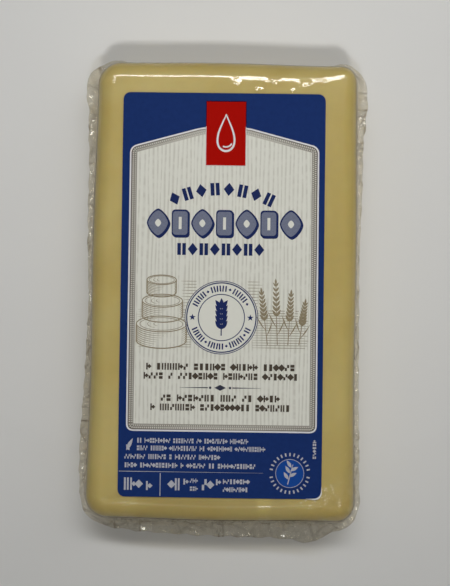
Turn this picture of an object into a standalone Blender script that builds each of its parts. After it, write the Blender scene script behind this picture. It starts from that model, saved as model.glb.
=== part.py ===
"""A vacuum-packed block of cheddar that lies on its back with the label up.

Metres, +Z up, +Y towards the head of the label, origin under the middle of the whole pack.
Three solids: the cheese, the sealed rim of its clear pouch, and the paper label on top. The pouch
clings to the cheese too closely to have a thickness of its own there, so its solid is the rim that
stands off the block: a film tent that leaves the walls and runs out into a thin, rippled seam.

All three are modelled straight and square first, and then share one small, smooth distortion,
which gives the pack its crowned top and uneven sides and keeps the gaps between the solids.
"""

from math import cos, pi, radians, sin

import bmesh
import bpy
import numpy as np
from mathutils import Matrix, Vector

MM = 0.001

# Cheese block
BLOCK_WIDTH = 78.1 * MM
BLOCK_LENGTH = 135.2 * MM
BLOCK_THICKNESS = 22.5 * MM
BLOCK_TAPER = 1.7 * MM  # how much wider the foot end is than the head end
TOP_EDGE_RADIUS = 4.5 * MM
BOTTOM_EDGE_RADIUS = 3.5 * MM
CORNER_RADII = {"foot_left": 6.5 * MM, "foot_right": 5.5 * MM, "head_right": 5.0 * MM, "head_left": 7.0 * MM}
CORNER_SEGMENTS = 6
TOP_EDGE_SEGMENTS = 5
BOTTOM_EDGE_SEGMENTS = 3
BLOCK_GRID = 7.5 * MM  # spacing of the cuts that let the faces bend

# Shared distortion
CROWN = 0.40 * MM
TOP_WAVE = 0.16 * MM
TOP_WAVE_LENGTHS = (52.0 * MM, 67.0 * MM)
SIDE_WAVE = 0.20 * MM
SIDE_WAVE_LENGTHS = (61.0 * MM, 83.0 * MM)

# Sealed rim of the pouch
FILM_GAP = 0.3 * MM
SEAM_HEIGHT = 11.0 * MM
SEAM_THICKNESS = 0.6 * MM
RIM_SPACING = 1.4 * MM  # distance between neighbouring sections round the rim
TENT_RISE_SIDE = 3.4 * MM
TENT_RISE_FOOT = 6.0 * MM
TENT_DEPTH_SIDE = 1.2 * MM
TENT_DEPTH_FOOT = 3.0 * MM
TENT_SAG = 0.35  # share by which the tent's slopes hang in towards the seam
SEAM_SWAY = 0.7 * MM
SEAM_SWAYS = 5
RIPPLE_HEIGHT = 0.40 * MM
RIPPLE_LENGTH = 8.5 * MM
EDGE_RIPPLE = 0.18 * MM
EDGE_RIPPLE_LENGTH = 6.2 * MM

# How far the seam reaches from the cheese, at points round it: side, share of that side, reach
SEAM_REACH = (
    ("foot", 0.00, 4.0 * MM),
    ("foot", 0.10, 5.0 * MM),
    ("foot", 0.50, 5.9 * MM),
    ("foot", 0.78, 6.6 * MM),
    ("foot", 0.90, 8.3 * MM),
    ("foot", 1.00, 4.2 * MM),
    ("right", 0.00, 2.2 * MM),
    ("right", 0.35, 2.1 * MM),
    ("right", 0.60, 1.6 * MM),
    ("right", 0.74, 2.2 * MM),
    ("right", 0.86, 2.6 * MM),
    ("right", 0.97, 4.2 * MM),
    ("head", 0.00, 2.2 * MM),
    ("head", 0.12, 1.3 * MM),
    ("head", 0.95, 1.3 * MM),
    ("head", 1.00, 1.8 * MM),
    ("left", 0.00, 5.0 * MM),
    ("left", 0.04, 3.6 * MM),
    ("left", 0.10, 3.6 * MM),
    ("left", 0.18, 2.9 * MM),
    ("left", 0.30, 2.6 * MM),
    ("left", 0.52, 1.6 * MM),
    ("left", 0.85, 3.3 * MM),
    ("left", 0.96, 3.1 * MM),
    ("left", 1.00, 2.4 * MM),
)
SIDES = ("foot", "right", "head", "left")

# Label
LABEL_WIDTH = 59.4 * MM
LABEL_LENGTH = 118.4 * MM
LABEL_THICKNESS = 0.3 * MM
LABEL_GAP = 0.3 * MM
LABEL_CORNER_RADIUS = 2.3 * MM
LABEL_CORNER_SEGMENTS = 4
LABEL_CENTRE = (-0.45 * MM, -1.3 * MM)
LABEL_TURN = radians(0.37)
LABEL_GRID = 10.0 * MM


def clear_scene():
    """Empties the scene of all its objects."""
    for obj in list(bpy.data.objects):
        bpy.data.objects.remove(obj, do_unlink=True)


def principled(name, colour, roughness, transmission=0.0):
    """A Principled material with the given colour, roughness and transmission."""
    material = bpy.data.materials.new(name)
    material.use_nodes = True
    shader = material.node_tree.nodes["Principled BSDF"]
    shader.inputs["Base Color"].default_value = (*colour, 1.0)
    shader.inputs["Roughness"].default_value = roughness
    shader.inputs["Metallic"].default_value = 0.0
    shader.inputs["Transmission Weight"].default_value = transmission
    return material


def add_object(name, form, material, collection):
    """Turns a bmesh into a smooth-shaded object in the collection."""
    mesh = bpy.data.meshes.new(name)
    form.to_mesh(mesh)
    form.free()
    mesh.materials.append(material)
    mesh.shade_smooth()
    mesh.set_sharp_from_angle(angle=radians(40.0))
    obj = bpy.data.objects.new(name, mesh)
    collection.objects.link(obj)
    return obj


def half_width(y):
    """Half the block's width at a place along its length."""
    return BLOCK_WIDTH / 2 - BLOCK_TAPER / 2 * y / BLOCK_LENGTH


def edges_between(form, test):
    """The edges of which both ends pass the test."""
    return [edge for edge in form.edges if all(test(vert.co) for vert in edge.verts)]


def cut_grid(form, spacing):
    """Cuts the form by evenly spaced planes across X and across Y."""
    corners = np.array([vert.co for vert in form.verts])
    for axis, normal in enumerate((Vector((1, 0, 0)), Vector((0, 1, 0)))):
        low, high = corners[:, axis].min(), corners[:, axis].max()
        count = round((high - low) / spacing)
        for place in np.linspace(low, high, count + 1)[1:-1]:
            bmesh.ops.bisect_plane(
                form,
                geom=form.verts[:] + form.edges[:] + form.faces[:],
                dist=1e-7,
                plane_co=normal * place,
                plane_no=normal,
            )


def distort(form):
    """Gives straight, square work the pack's crowned top and slightly uneven sides.

    Heights grow with z by a crown, highest in the middle, and by a shallow product of two sines.
    X and Y move by long sines that grow from the middle line to the walls.
    """
    for vert in form.verts:
        x, y, z = vert.co
        across = x / (BLOCK_WIDTH / 2)
        along = y / (BLOCK_LENGTH / 2)
        crown = CROWN * (1 - min(across**2, 1)) * (1 - min(along**2, 1))
        wave = sin(2 * pi * x / TOP_WAVE_LENGTHS[0] + 0.6) * sin(2 * pi * y / TOP_WAVE_LENGTHS[1] + 1.1)
        lift = z / BLOCK_THICKNESS * (crown + TOP_WAVE * wave)
        shift_x = SIDE_WAVE * across * sin(2 * pi * y / SIDE_WAVE_LENGTHS[1] + 0.4)
        shift_y = SIDE_WAVE * along * sin(2 * pi * x / SIDE_WAVE_LENGTHS[0] + 1.9)
        vert.co = Vector((x + shift_x, y + shift_y, z + lift))


def make_cheese(collection):
    """The block: a tapered box with rounded corners and softer edges above than below."""
    form = bmesh.new()
    bmesh.ops.create_cube(form, size=1.0)
    for vert in form.verts:
        y = vert.co.y * BLOCK_LENGTH
        vert.co = Vector((2 * vert.co.x * half_width(y), y, (vert.co.z + 0.5) * BLOCK_THICKNESS))
    for name, radius in CORNER_RADII.items():
        end, side = name.split("_")
        sign_y = 1 if end == "head" else -1
        sign_x = 1 if side == "right" else -1
        corner = edges_between(form, lambda co: co.x * sign_x > 0 and co.y * sign_y > 0)
        uprights = [edge for edge in corner if abs(edge.verts[0].co.z - edge.verts[1].co.z) > BLOCK_THICKNESS / 2]
        bmesh.ops.bevel(
            form,
            geom=uprights,
            offset=radius,
            offset_type="OFFSET",
            segments=CORNER_SEGMENTS,
            profile=0.5,
            affect="EDGES",
        )
    rims = (
        (BLOCK_THICKNESS, TOP_EDGE_RADIUS, TOP_EDGE_SEGMENTS),
        (0.0, BOTTOM_EDGE_RADIUS, BOTTOM_EDGE_SEGMENTS),
    )
    for height, radius, segments in rims:
        bmesh.ops.bevel(
            form,
            geom=edges_between(form, lambda co: abs(co.z - height) < MM / 10),
            offset=radius,
            offset_type="OFFSET",
            segments=segments,
            profile=0.5,
            affect="EDGES",
            clamp_overlap=False,
        )
    cut_grid(form, BLOCK_GRID)
    bmesh.ops.triangulate(form, faces=form.faces[:])
    distort(form)
    bmesh.ops.recalc_face_normals(form, faces=form.faces[:])
    cheese = principled("cheese", (0.66, 0.52, 0.22), 0.45)
    return add_object("cheese_block", form, cheese, collection)


def block_outline():
    """The block's plan as even points, with their outward normals and named places.

    The outline runs anticlockwise from the foot's left corner: a straight run for each side, and
    a quarter circle for each corner. It returns the points, the normals, the distance of each
    point along the outline, and where each straight run starts and ends on that distance.
    """
    signs = {"foot_right": (1, -1), "head_right": (1, 1), "head_left": (-1, 1), "foot_left": (-1, -1)}
    centres = {}
    for name, (sign_x, sign_y) in signs.items():
        radius = CORNER_RADII[name]
        y = sign_y * (BLOCK_LENGTH / 2 - radius)
        centres[name] = np.array((sign_x * (half_width(y) - radius), y))
    order = ("foot_left", "foot_right", "head_right", "head_left")
    points, normals, runs = [], [], {}
    travelled = 0.0
    for turn, side in enumerate(SIDES):
        outward = -pi / 2 + turn * pi / 2
        normal = np.array((cos(outward), sin(outward)))
        start_name, end_name = order[turn], order[(turn + 1) % 4]
        start = centres[start_name] + CORNER_RADII[start_name] * normal
        end = centres[end_name] + CORNER_RADII[end_name] * normal
        length = np.linalg.norm(end - start)
        count = round(length / RIM_SPACING)
        for share in np.linspace(0, 1, count, endpoint=False):
            points.append(start + share * (end - start))
            normals.append(normal)
        runs[side] = (travelled, travelled + length)
        travelled += length
        radius = CORNER_RADII[end_name]
        count = round(radius * pi / 2 / RIM_SPACING) + 2
        for angle in np.linspace(outward, outward + pi / 2, count, endpoint=False):
            direction = np.array((cos(angle), sin(angle)))
            points.append(centres[end_name] + radius * direction)
            normals.append(direction)
        travelled += radius * pi / 2
    points, normals = np.array(points), np.array(normals)
    steps = np.linalg.norm(np.roll(points, -1, axis=0) - points, axis=1)
    distance = np.concatenate(([0.0], np.cumsum(steps)[:-1]))
    return points, normals, distance, runs


def seam_reach(distance, runs, whole):
    """The seam's reach at each distance round the block, eased between its named places."""
    places, reaches = [], []
    for side, share, reach in SEAM_REACH:
        start, end = runs[side]
        places.append(start + share * (end - start))
        reaches.append(reach)
    straight = np.interp(distance, places, reaches, period=whole)
    eased = sum(np.interp(distance + shift, places, reaches, period=whole) for shift in (-2 * MM, 2 * MM))
    return (straight + eased) / 3


def rim_section(reach, foot_share, seam, ripple):
    """The rim's closed section, as (distance out from the block, height) pairs.

    It starts at the foot of the tent and runs up the wall, down the upper slope to the seam, out
    along the seam and back under it. foot_share is 1 at the foot end, where the tent is larger.
    """
    rise = TENT_RISE_SIDE + foot_share * (TENT_RISE_FOOT - TENT_RISE_SIDE)
    depth = min(TENT_DEPTH_SIDE + foot_share * (TENT_DEPTH_FOOT - TENT_DEPTH_SIDE), 0.6 * reach)
    half = SEAM_THICKNESS / 2
    hang = (1 - TENT_SAG) / 2
    slope_out = FILM_GAP + (depth - FILM_GAP) / 2
    middle_out = (depth + reach) / 2
    return (
        (FILM_GAP, seam - rise),
        (FILM_GAP, seam + rise),
        (slope_out, seam + rise * hang),
        (depth, seam + half),
        (middle_out, seam + half + ripple / 2),
        (reach, seam + half * 0.8 + ripple),
        (reach, seam - half * 0.8 + ripple),
        (middle_out, seam - half + ripple / 2),
        (depth, seam - half),
        (slope_out, seam - rise * hang),
    )


def make_rim(collection):
    """The pouch's rim: a loft of rim sections that closes on itself round the block."""
    points, normals, distance, runs = block_outline()
    whole = distance[-1] + np.linalg.norm(points[0] - points[-1])
    turns = distance / whole * 2 * pi
    ripples = round(whole / RIPPLE_LENGTH)
    edge_ripples = round(whole / EDGE_RIPPLE_LENGTH)
    reach = seam_reach(distance, runs, whole)
    reach = reach + EDGE_RIPPLE * np.sin(edge_ripples * turns) * np.minimum(reach / (4 * MM), 1)
    seam = SEAM_HEIGHT + SEAM_SWAY * np.sin(SEAM_SWAYS * turns + 0.8)
    ripple = RIPPLE_HEIGHT * np.sin(ripples * turns + 1.7 * np.sin(3 * turns))
    ripple = ripple * np.minimum(reach / (4 * MM), 1)
    foot_share = np.clip((-points[:, 1] - BLOCK_LENGTH / 2 + 8 * MM) / (8 * MM), 0, 1)
    form = bmesh.new()
    loops = []
    for i in range(len(points)):
        section = rim_section(reach[i], foot_share[i], seam[i], ripple[i])
        loops.append([form.verts.new((*(points[i] + out * normals[i]), height)) for out, height in section])
    for here, following in zip(loops, loops[1:] + loops[:1]):
        for k in range(len(here)):
            after = (k + 1) % len(here)
            form.faces.new((here[k], here[after], following[after], following[k]))
    bmesh.ops.triangulate(form, faces=form.faces[:])
    distort(form)
    bmesh.ops.recalc_face_normals(form, faces=form.faces[:])
    film = principled("clear_film", (0.92, 0.92, 0.90), 0.15, transmission=0.9)
    return add_object("film_pouch", form, film, collection)


def make_label(collection):
    """The label: a thin plate with rounded corners, laid on the block's top a little askew."""
    form = bmesh.new()
    bmesh.ops.create_cube(form, size=1.0)
    bmesh.ops.scale(form, vec=(LABEL_WIDTH, LABEL_LENGTH, LABEL_THICKNESS), verts=form.verts[:])
    uprights = [edge for edge in form.edges if edge.calc_length() < 2 * LABEL_THICKNESS]
    bmesh.ops.bevel(
        form,
        geom=uprights,
        offset=LABEL_CORNER_RADIUS,
        offset_type="OFFSET",
        segments=LABEL_CORNER_SEGMENTS,
        profile=0.5,
        affect="EDGES",
    )
    cut_grid(form, LABEL_GRID)
    bmesh.ops.triangulate(form, faces=form.faces[:])
    middle = BLOCK_THICKNESS + LABEL_GAP + LABEL_THICKNESS / 2
    bmesh.ops.rotate(form, matrix=Matrix.Rotation(LABEL_TURN, 3, "Z"), verts=form.verts[:])
    bmesh.ops.translate(form, vec=(*LABEL_CENTRE, middle), verts=form.verts[:])
    distort(form)
    bmesh.ops.recalc_face_normals(form, faces=form.faces[:])
    paper = principled("printed_label", (0.012, 0.028, 0.11), 0.4)
    return add_object("label", form, paper, collection)


def centre_under_pack(parts):
    """Moves the parts together, so that the origin lies under the middle of their common box."""
    corners = np.array([part.matrix_world @ Vector(corner) for part in parts for corner in part.bound_box])
    middle = (corners.min(axis=0) + corners.max(axis=0)) / 2
    for part in parts:
        part.location = (-middle[0], -middle[1], -corners[:, 2].min())


def main():
    """Builds the pack in a collection of its own."""
    clear_scene()
    collection = bpy.data.collections.new("cheddar_pack")
    bpy.context.scene.collection.children.link(collection)
    parts = (make_cheese(collection), make_rim(collection), make_label(collection))
    centre_under_pack(parts)


main()
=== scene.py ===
"""Looks of a vacuum-packed block of cheddar: cheese, clear film pouch and printed label.

Lengths are millimetres in the block's own frame, with its centre at x = y = 0 and its underside at
z = 0, until a mesh is written. All pieces are modelled straight and square first. They then share
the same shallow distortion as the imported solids, and are moved to where those lie.
"""

import logging
from collections.abc import Sequence
from dataclasses import dataclass, field
from enum import Enum
from math import cos, pi, radians, sin, tan

import bpy
import numpy as np
from mathutils import Matrix, Vector


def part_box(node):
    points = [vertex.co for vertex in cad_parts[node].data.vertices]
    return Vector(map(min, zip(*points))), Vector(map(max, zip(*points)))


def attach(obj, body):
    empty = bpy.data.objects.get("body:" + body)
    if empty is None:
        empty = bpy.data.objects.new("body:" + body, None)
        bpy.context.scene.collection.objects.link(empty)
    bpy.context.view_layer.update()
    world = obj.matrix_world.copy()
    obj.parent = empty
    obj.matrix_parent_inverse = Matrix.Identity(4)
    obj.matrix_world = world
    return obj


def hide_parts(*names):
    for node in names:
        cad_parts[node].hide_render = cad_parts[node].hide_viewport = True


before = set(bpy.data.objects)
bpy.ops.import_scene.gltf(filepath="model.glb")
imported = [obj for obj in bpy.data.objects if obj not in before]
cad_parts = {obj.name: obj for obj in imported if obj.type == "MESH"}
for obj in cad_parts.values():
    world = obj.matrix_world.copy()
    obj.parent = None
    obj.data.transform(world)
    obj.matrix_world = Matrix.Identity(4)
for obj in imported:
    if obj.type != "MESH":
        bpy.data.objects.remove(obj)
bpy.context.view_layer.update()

MM = 0.001
BODY = "root"
LOG = logging.getLogger("pack")

Colour = tuple[float, float, float]
Object = bpy.types.Object
Socket = bpy.types.NodeSocket


class Side(Enum):
    """The four sides of the block, anticlockwise from the foot."""

    FOOT = 0
    RIGHT = 1
    HEAD = 2
    LEFT = 3


class Level(Enum):
    """The order in which the inks lie on the label, lowest first."""

    FIELD = 1
    BAND = 2
    EDGE = 3
    LINE_ART = 4
    COVER = 5
    SHADOW = 6
    ORNAMENT = 7
    ACCENT = 8


# Meshes


def write_mesh(name: str, points: np.ndarray, faces: Sequence[np.ndarray], smooth: bool) -> Object:
    """Puts arrays of points and faces into a new object at the origin.

    Args:
        name: Name of the object.
        points: N by 3 array in millimetres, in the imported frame.
        faces: Arrays of M by 3 or M by 4 point numbers.
        smooth: True for smooth shading.

    Returns:
        The linked object.
    """
    mesh = bpy.data.meshes.new(name)
    corners = np.concatenate([block.ravel() for block in faces]).astype(np.int32)
    sizes = np.concatenate([np.full(len(block), block.shape[1]) for block in faces])
    starts = np.concatenate(([0], np.cumsum(sizes)[:-1])).astype(np.int32)
    mesh.vertices.add(len(points))
    mesh.vertices.foreach_set("co", (points * MM).astype(np.float32).ravel())
    mesh.loops.add(len(corners))
    mesh.loops.foreach_set("vertex_index", corners)
    mesh.polygons.add(len(sizes))
    mesh.polygons.foreach_set("loop_start", starts)
    mesh.polygons.foreach_set("use_smooth", np.full(len(sizes), smooth))
    mesh.update(calc_edges=True)
    mesh.validate()
    obj = bpy.data.objects.new(name, mesh)
    bpy.context.scene.collection.objects.link(obj)
    return obj


def add_attribute(obj: Object, name: str, values: np.ndarray) -> None:
    """Stores one number for each point of the object's mesh.

    Args:
        obj: The mesh object.
        name: Name of the attribute.
        values: One value for each point.
    """
    attribute = obj.data.attributes.new(name, "FLOAT", "POINT")
    attribute.data.foreach_set("value", values.astype(np.float32).ravel())


def ring_faces(rows: int, columns: int) -> list[np.ndarray]:
    """Faces of rings that run from a top pole, out, down and back in to a bottom pole.

    The points are the rings in order, anticlockwise seen from above, then the two poles.

    Args:
        rows: Number of rings.
        columns: Number of points in a ring.

    Returns:
        The quads between the rings, and the triangles at the poles.
    """
    index = np.arange(rows * columns).reshape(rows, columns)
    after = np.roll(index, -1, axis=1)
    quads = np.stack((index[:-1], index[1:], after[1:], after[:-1]), axis=-1).reshape(-1, 4)
    top = np.stack((np.full(columns, rows * columns), index[0], after[0]), axis=-1)
    bottom = np.stack((np.full(columns, rows * columns + 1), after[-1], index[-1]), axis=-1)
    return [quads, top, bottom]


def ring_normals(rings: np.ndarray) -> np.ndarray:
    """Unit normals of a grid of rings, from the cross product of its central differences.

    Args:
        rings: Rows by columns by 3 array.

    Returns:
        An array of the same shape.
    """
    along = np.roll(rings, -1, axis=1) - np.roll(rings, 1, axis=1)
    down = np.gradient(rings, axis=0)
    normals = np.cross(down, along)
    return normals / np.maximum(np.linalg.norm(normals, axis=-1, keepdims=True), 1e-9)


def eased(share: np.ndarray) -> np.ndarray:
    """Smooth step from 0 to 1, three times the square less twice the cube of the clipped share."""
    clipped = np.clip(share, 0, 1)
    return clipped * clipped * (3 - 2 * clipped)


def deliver(piece: Object, material: bpy.types.Material, node: str) -> None:
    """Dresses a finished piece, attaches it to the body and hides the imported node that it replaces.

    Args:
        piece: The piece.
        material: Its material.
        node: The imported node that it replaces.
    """
    piece.data.materials.append(material)
    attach(piece, BODY)
    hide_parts(node)
    LOG.info("%s: %d faces", piece.name, len(piece.data.polygons))


# Shader trees


class Tree:
    """A node tree with short ways to add and link nodes."""

    def __init__(self, tree: bpy.types.NodeTree) -> None:
        """Keeps the tree."""
        self.tree = tree

    def add(self, kind: str, values: dict[str | int, object] | None = None,
            **settings: object) -> bpy.types.Node:
        """Adds a node.

        Args:
            kind: Node type, without the leading ShaderNode.
            values: Input names or numbers, with a socket to link or a value to set.
            settings: Attributes of the node.

        Returns:
            The node.
        """
        node = self.tree.nodes.new("ShaderNode" + kind)
        for key, value in settings.items():
            setattr(node, key, value)
        for key, value in (values or {}).items():
            if isinstance(value, Socket):
                self.tree.links.new(value, node.inputs[key])
            else:
                node.inputs[key].default_value = value
        return node

    def maths(self, operation: str, *terms: object) -> Socket:
        """A Math node's result.

        Args:
            operation: The node's operation.
            terms: Sockets or numbers for its inputs.

        Returns:
            The output socket.
        """
        return self.add("Math", dict(enumerate(terms)), operation=operation).outputs[0]

    def ramp(self, factor: Socket, stops: Sequence[tuple[float, float]]) -> Socket:
        """A grey colour ramp.

        Args:
            factor: The socket that drives it.
            stops: Pairs of place and grey value.

        Returns:
            The colour output.
        """
        node = self.add("ValToRGB", {"Fac": factor})
        elements = node.color_ramp.elements
        for number, (place, grey) in enumerate(stops):
            element = elements[number] if number < 2 else elements.new(place)
            element.position = place
            element.color = (grey, grey, grey, 1)
        return node.outputs["Color"]

    def tinted(self, factor: object, first: object, second: object) -> Socket:
        """A colour mix.

        Args:
            factor: Share of the second colour.
            first: First colour.
            second: Second colour.

        Returns:
            The colour output.
        """
        node = self.add("Mix", None, data_type="RGBA")
        for key, value in ((0, factor), (6, first), (7, second)):
            socket = node.inputs[key]
            if isinstance(value, Socket):
                self.tree.links.new(value, socket)
            else:
                socket.default_value = value if isinstance(value, float) else (*value, 1.0)
        return node.outputs[2]


def new_material(name: str) -> tuple[bpy.types.Material, Tree, bpy.types.Node]:
    """An empty material.

    Args:
        name: Its name.

    Returns:
        The material, its tree, and its output node.
    """
    material = bpy.data.materials.new(name)
    material.use_nodes = True
    material.node_tree.nodes.clear()
    tree = Tree(material.node_tree)
    return material, tree, tree.add("OutputMaterial")


def mottle_group() -> bpy.types.NodeTree:
    """The shared cloudy variation: noise on object coordinates darkens a colour and gives a height.

    Returns:
        A group with Colour, Amount, Scale and Detail in, and Colour and Height out.
    """
    name = "mottle"
    if name in bpy.data.node_groups:
        return bpy.data.node_groups[name]
    group = bpy.data.node_groups.new(name, "ShaderNodeTree")
    group.interface.new_socket("Colour", in_out="INPUT", socket_type="NodeSocketColor")
    for socket in ("Amount", "Scale", "Detail"):
        group.interface.new_socket(socket, in_out="INPUT", socket_type="NodeSocketFloat")
    group.interface.new_socket("Colour", in_out="OUTPUT", socket_type="NodeSocketColor")
    group.interface.new_socket("Height", in_out="OUTPUT", socket_type="NodeSocketFloat")
    tree = Tree(group)
    given = group.nodes.new("NodeGroupInput")
    made = group.nodes.new("NodeGroupOutput")
    place = tree.add("TexCoord").outputs["Object"]
    noise_values = {"Vector": place} | {key: given.outputs[key] for key in ("Scale", "Detail")}
    height = tree.add("TexNoise", noise_values).outputs["Fac"]
    spread = tree.maths("MULTIPLY", tree.maths("SUBTRACT", height, 0.5), given.outputs["Amount"])
    factor = tree.maths("ADD", spread, 1.0)
    scaled = tree.add("VectorMath", {0: given.outputs["Colour"], 1: factor}, operation="MULTIPLY")
    group.links.new(scaled.outputs[0], made.inputs["Colour"])
    group.links.new(height, made.inputs["Height"])
    return group


def mottled(tree: Tree, colour: object, amount: float, scale: float, detail: float) -> bpy.types.Node:
    """Places the mottle group in a material.

    Args:
        tree: The material's tree.
        colour: Base colour, or the socket that gives it.
        amount: How far the colour strays.
        scale: Noise scale, in cycles to the metre.
        detail: Noise detail.

    Returns:
        The group node.
    """
    node = tree.add("Group", None, node_tree=mottle_group())
    if isinstance(colour, Socket):
        tree.tree.links.new(colour, node.inputs["Colour"])
    else:
        node.inputs["Colour"].default_value = (*colour, 1.0)
    node.inputs["Amount"].default_value = amount
    node.inputs["Scale"].default_value = scale
    node.inputs["Detail"].default_value = detail
    return node


@dataclass(frozen=True)
class InkFinish:
    """Satin ink on coated paper, with a little mottle and the paper's tooth."""

    name: str
    colour: Colour
    roughness: float = 0.50
    mottle: float = 0.16
    mottle_scale: float = 700.0
    specular: float = 0.03
    tooth: float = 0.05

    def base(self, tree: Tree) -> Socket:
        """The ink's colour with its mottle."""
        return mottled(tree, self.colour, self.mottle, self.mottle_scale, 3.0).outputs["Colour"]

    def build(self) -> bpy.types.Material:
        """Builds the material.

        Returns:
            The material.
        """
        material, tree, output = new_material(self.name)
        tooth = mottled(tree, self.colour, 0.0, 5200.0, 2.0).outputs["Height"]
        bump = tree.add("Bump", {"Strength": self.tooth, "Distance": 0.05 * MM, "Height": tooth})
        values = {
            "Base Color": self.base(tree),
            "Roughness": self.roughness,
            "Specular IOR Level": self.specular,
            "Normal": bump.outputs["Normal"],
        }
        shader = tree.add("BsdfPrincipled", values)
        tree.tree.links.new(shader.outputs[0], output.inputs["Surface"])
        return material


@dataclass(frozen=True)
class GrainFinish(InkFinish):
    """The pale field of the label, with fine, broken lines along its length like wood grain."""

    grain_colour: Colour = (0.655, 0.645, 0.57)
    grain_pitch: float = 1.22
    grain_stretch: float = 0.10
    wander: float = 5.5
    wander_scale: float = 1.1
    turn: float = 0.0

    def base(self, tree: Tree) -> Socket:
        """The field's colour: gently wandering bands, of which noise keeps only some stretches.

        Args:
            tree: The material's tree.

        Returns:
            The colour.
        """
        place = tree.add("TexCoord").outputs["Object"]
        values = {"Vector": place, "Rotation": (0, 0, -self.turn), "Scale": (1, self.grain_stretch, 1)}
        drawn = tree.add("Mapping", values).outputs[0]
        wave_values = {
            "Vector": drawn,
            "Scale": 2 * pi / (20 * self.grain_pitch * MM),
            "Distortion": self.wander,
            "Detail": 2.0,
            "Detail Scale": self.wander_scale,
        }
        waves = tree.add("TexWave", wave_values, wave_type="BANDS", bands_direction="X").outputs["Fac"]
        lines = tree.ramp(waves, ((0.40, 0.0), (0.95, 1.0)))
        noise = tree.add("TexNoise", {"Vector": place, "Scale": 420.0, "Detail": 2.0}).outputs["Fac"]
        factor = tree.maths("MULTIPLY", lines, tree.ramp(noise, ((0.36, 0.35), (0.56, 1.0))))
        plain = mottled(tree, self.colour, self.mottle, self.mottle_scale, 3.0).outputs["Colour"]
        return tree.tinted(factor, plain, self.grain_colour)


@dataclass(frozen=True)
class FadeFinish(InkFinish):
    """The frame's band, of which the attribute fade draws the colour to a lighter one."""

    light: Colour = (0.60, 0.58, 0.52)

    def base(self, tree: Tree) -> Socket:
        """The band's colour by its fade attribute.

        Args:
            tree: The material's tree.

        Returns:
            The colour.
        """
        fade = tree.add("Attribute", None, attribute_name="fade").outputs["Fac"]
        plain = mottled(tree, self.colour, self.mottle, self.mottle_scale, 3.0).outputs["Colour"]
        return tree.tinted(fade, plain, self.light)


@dataclass(frozen=True)
class CheeseFinish:
    """Pale cheddar: slightly translucent, cloudy, with a fine curd grain."""

    name: str = "cheddar"
    colour: Colour = (0.655, 0.520, 0.183)
    pale: Colour = (0.715, 0.596, 0.243)
    roughness: float = 0.42
    subsurface: float = 0.25
    subsurface_reach: float = 2.5 * MM

    def build(self) -> bpy.types.Material:
        """Builds the material.

        Returns:
            The material.
        """
        material, tree, output = new_material(self.name)
        broad = mottled(tree, self.colour, 0.0, 42.0, 2.0).outputs["Height"]
        clouds = tree.tinted(tree.ramp(broad, ((0.35, 0.0), (0.65, 1.0))), self.colour, self.pale)
        curd = mottled(tree, clouds, 0.10, 330.0, 4.0)
        bump_values = {"Strength": 0.25, "Distance": 0.15 * MM, "Height": curd.outputs["Height"]}
        bump = tree.add("Bump", bump_values)
        values = {
            "Base Color": curd.outputs["Colour"],
            "Roughness": self.roughness,
            "Subsurface Weight": self.subsurface,
            "Subsurface Radius": (1.0, 0.65, 0.25),
            "Subsurface Scale": self.subsurface_reach,
            "Specular IOR Level": 0.35,
            "Normal": bump.outputs["Normal"],
        }
        shader = tree.add("BsdfPrincipled", values)
        tree.tree.links.new(shader.outputs[0], output.inputs["Surface"])
        return material


@dataclass(frozen=True)
class Facets:
    """Film that is broken into small flat facets.

    The leans are random within the spread, about a mean tilt towards the foot.
    """

    size: float
    spread: float
    tilt: float

    def height(self, tree: Tree, weight: Socket) -> Socket:
        """The film's height: each facet's lean times the way from its middle.

        Args:
            tree: The material's tree.
            weight: How strongly the film is broken.

        Returns:
            The height in metres.
        """
        place = tree.add("TexCoord").outputs["Object"]
        noise_values = {"Vector": place, "Scale": 0.63 / self.size, "Detail": 1.0}
        noise = tree.add("TexNoise", noise_values).outputs["Color"]
        reach = (1.15 * self.size,) * 3
        shift = tree.add("VectorMath", {0: noise, 1: reach}, operation="MULTIPLY").outputs[0]
        bent = tree.add("VectorMath", {0: place, 1: shift}, operation="ADD").outputs[0]
        cells = tree.add("TexVoronoi", {"Vector": bent, "Scale": 1 / self.size})
        middle = cells.outputs["Position"]
        away = tree.add("VectorMath", {0: bent, 1: middle}, operation="SUBTRACT").outputs[0]
        least = (-self.spread / 2, self.tilt - self.spread / 2, -self.spread / 2)
        lean_values = {0: cells.outputs["Color"], 1: (self.spread,) * 3, 2: least}
        lean = tree.add("VectorMath", lean_values, operation="MULTIPLY_ADD").outputs[0]
        height = tree.add("VectorMath", {0: away, 1: lean}, operation="DOT_PRODUCT").outputs["Value"]
        return tree.maths("MULTIPLY", height, weight)


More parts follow.
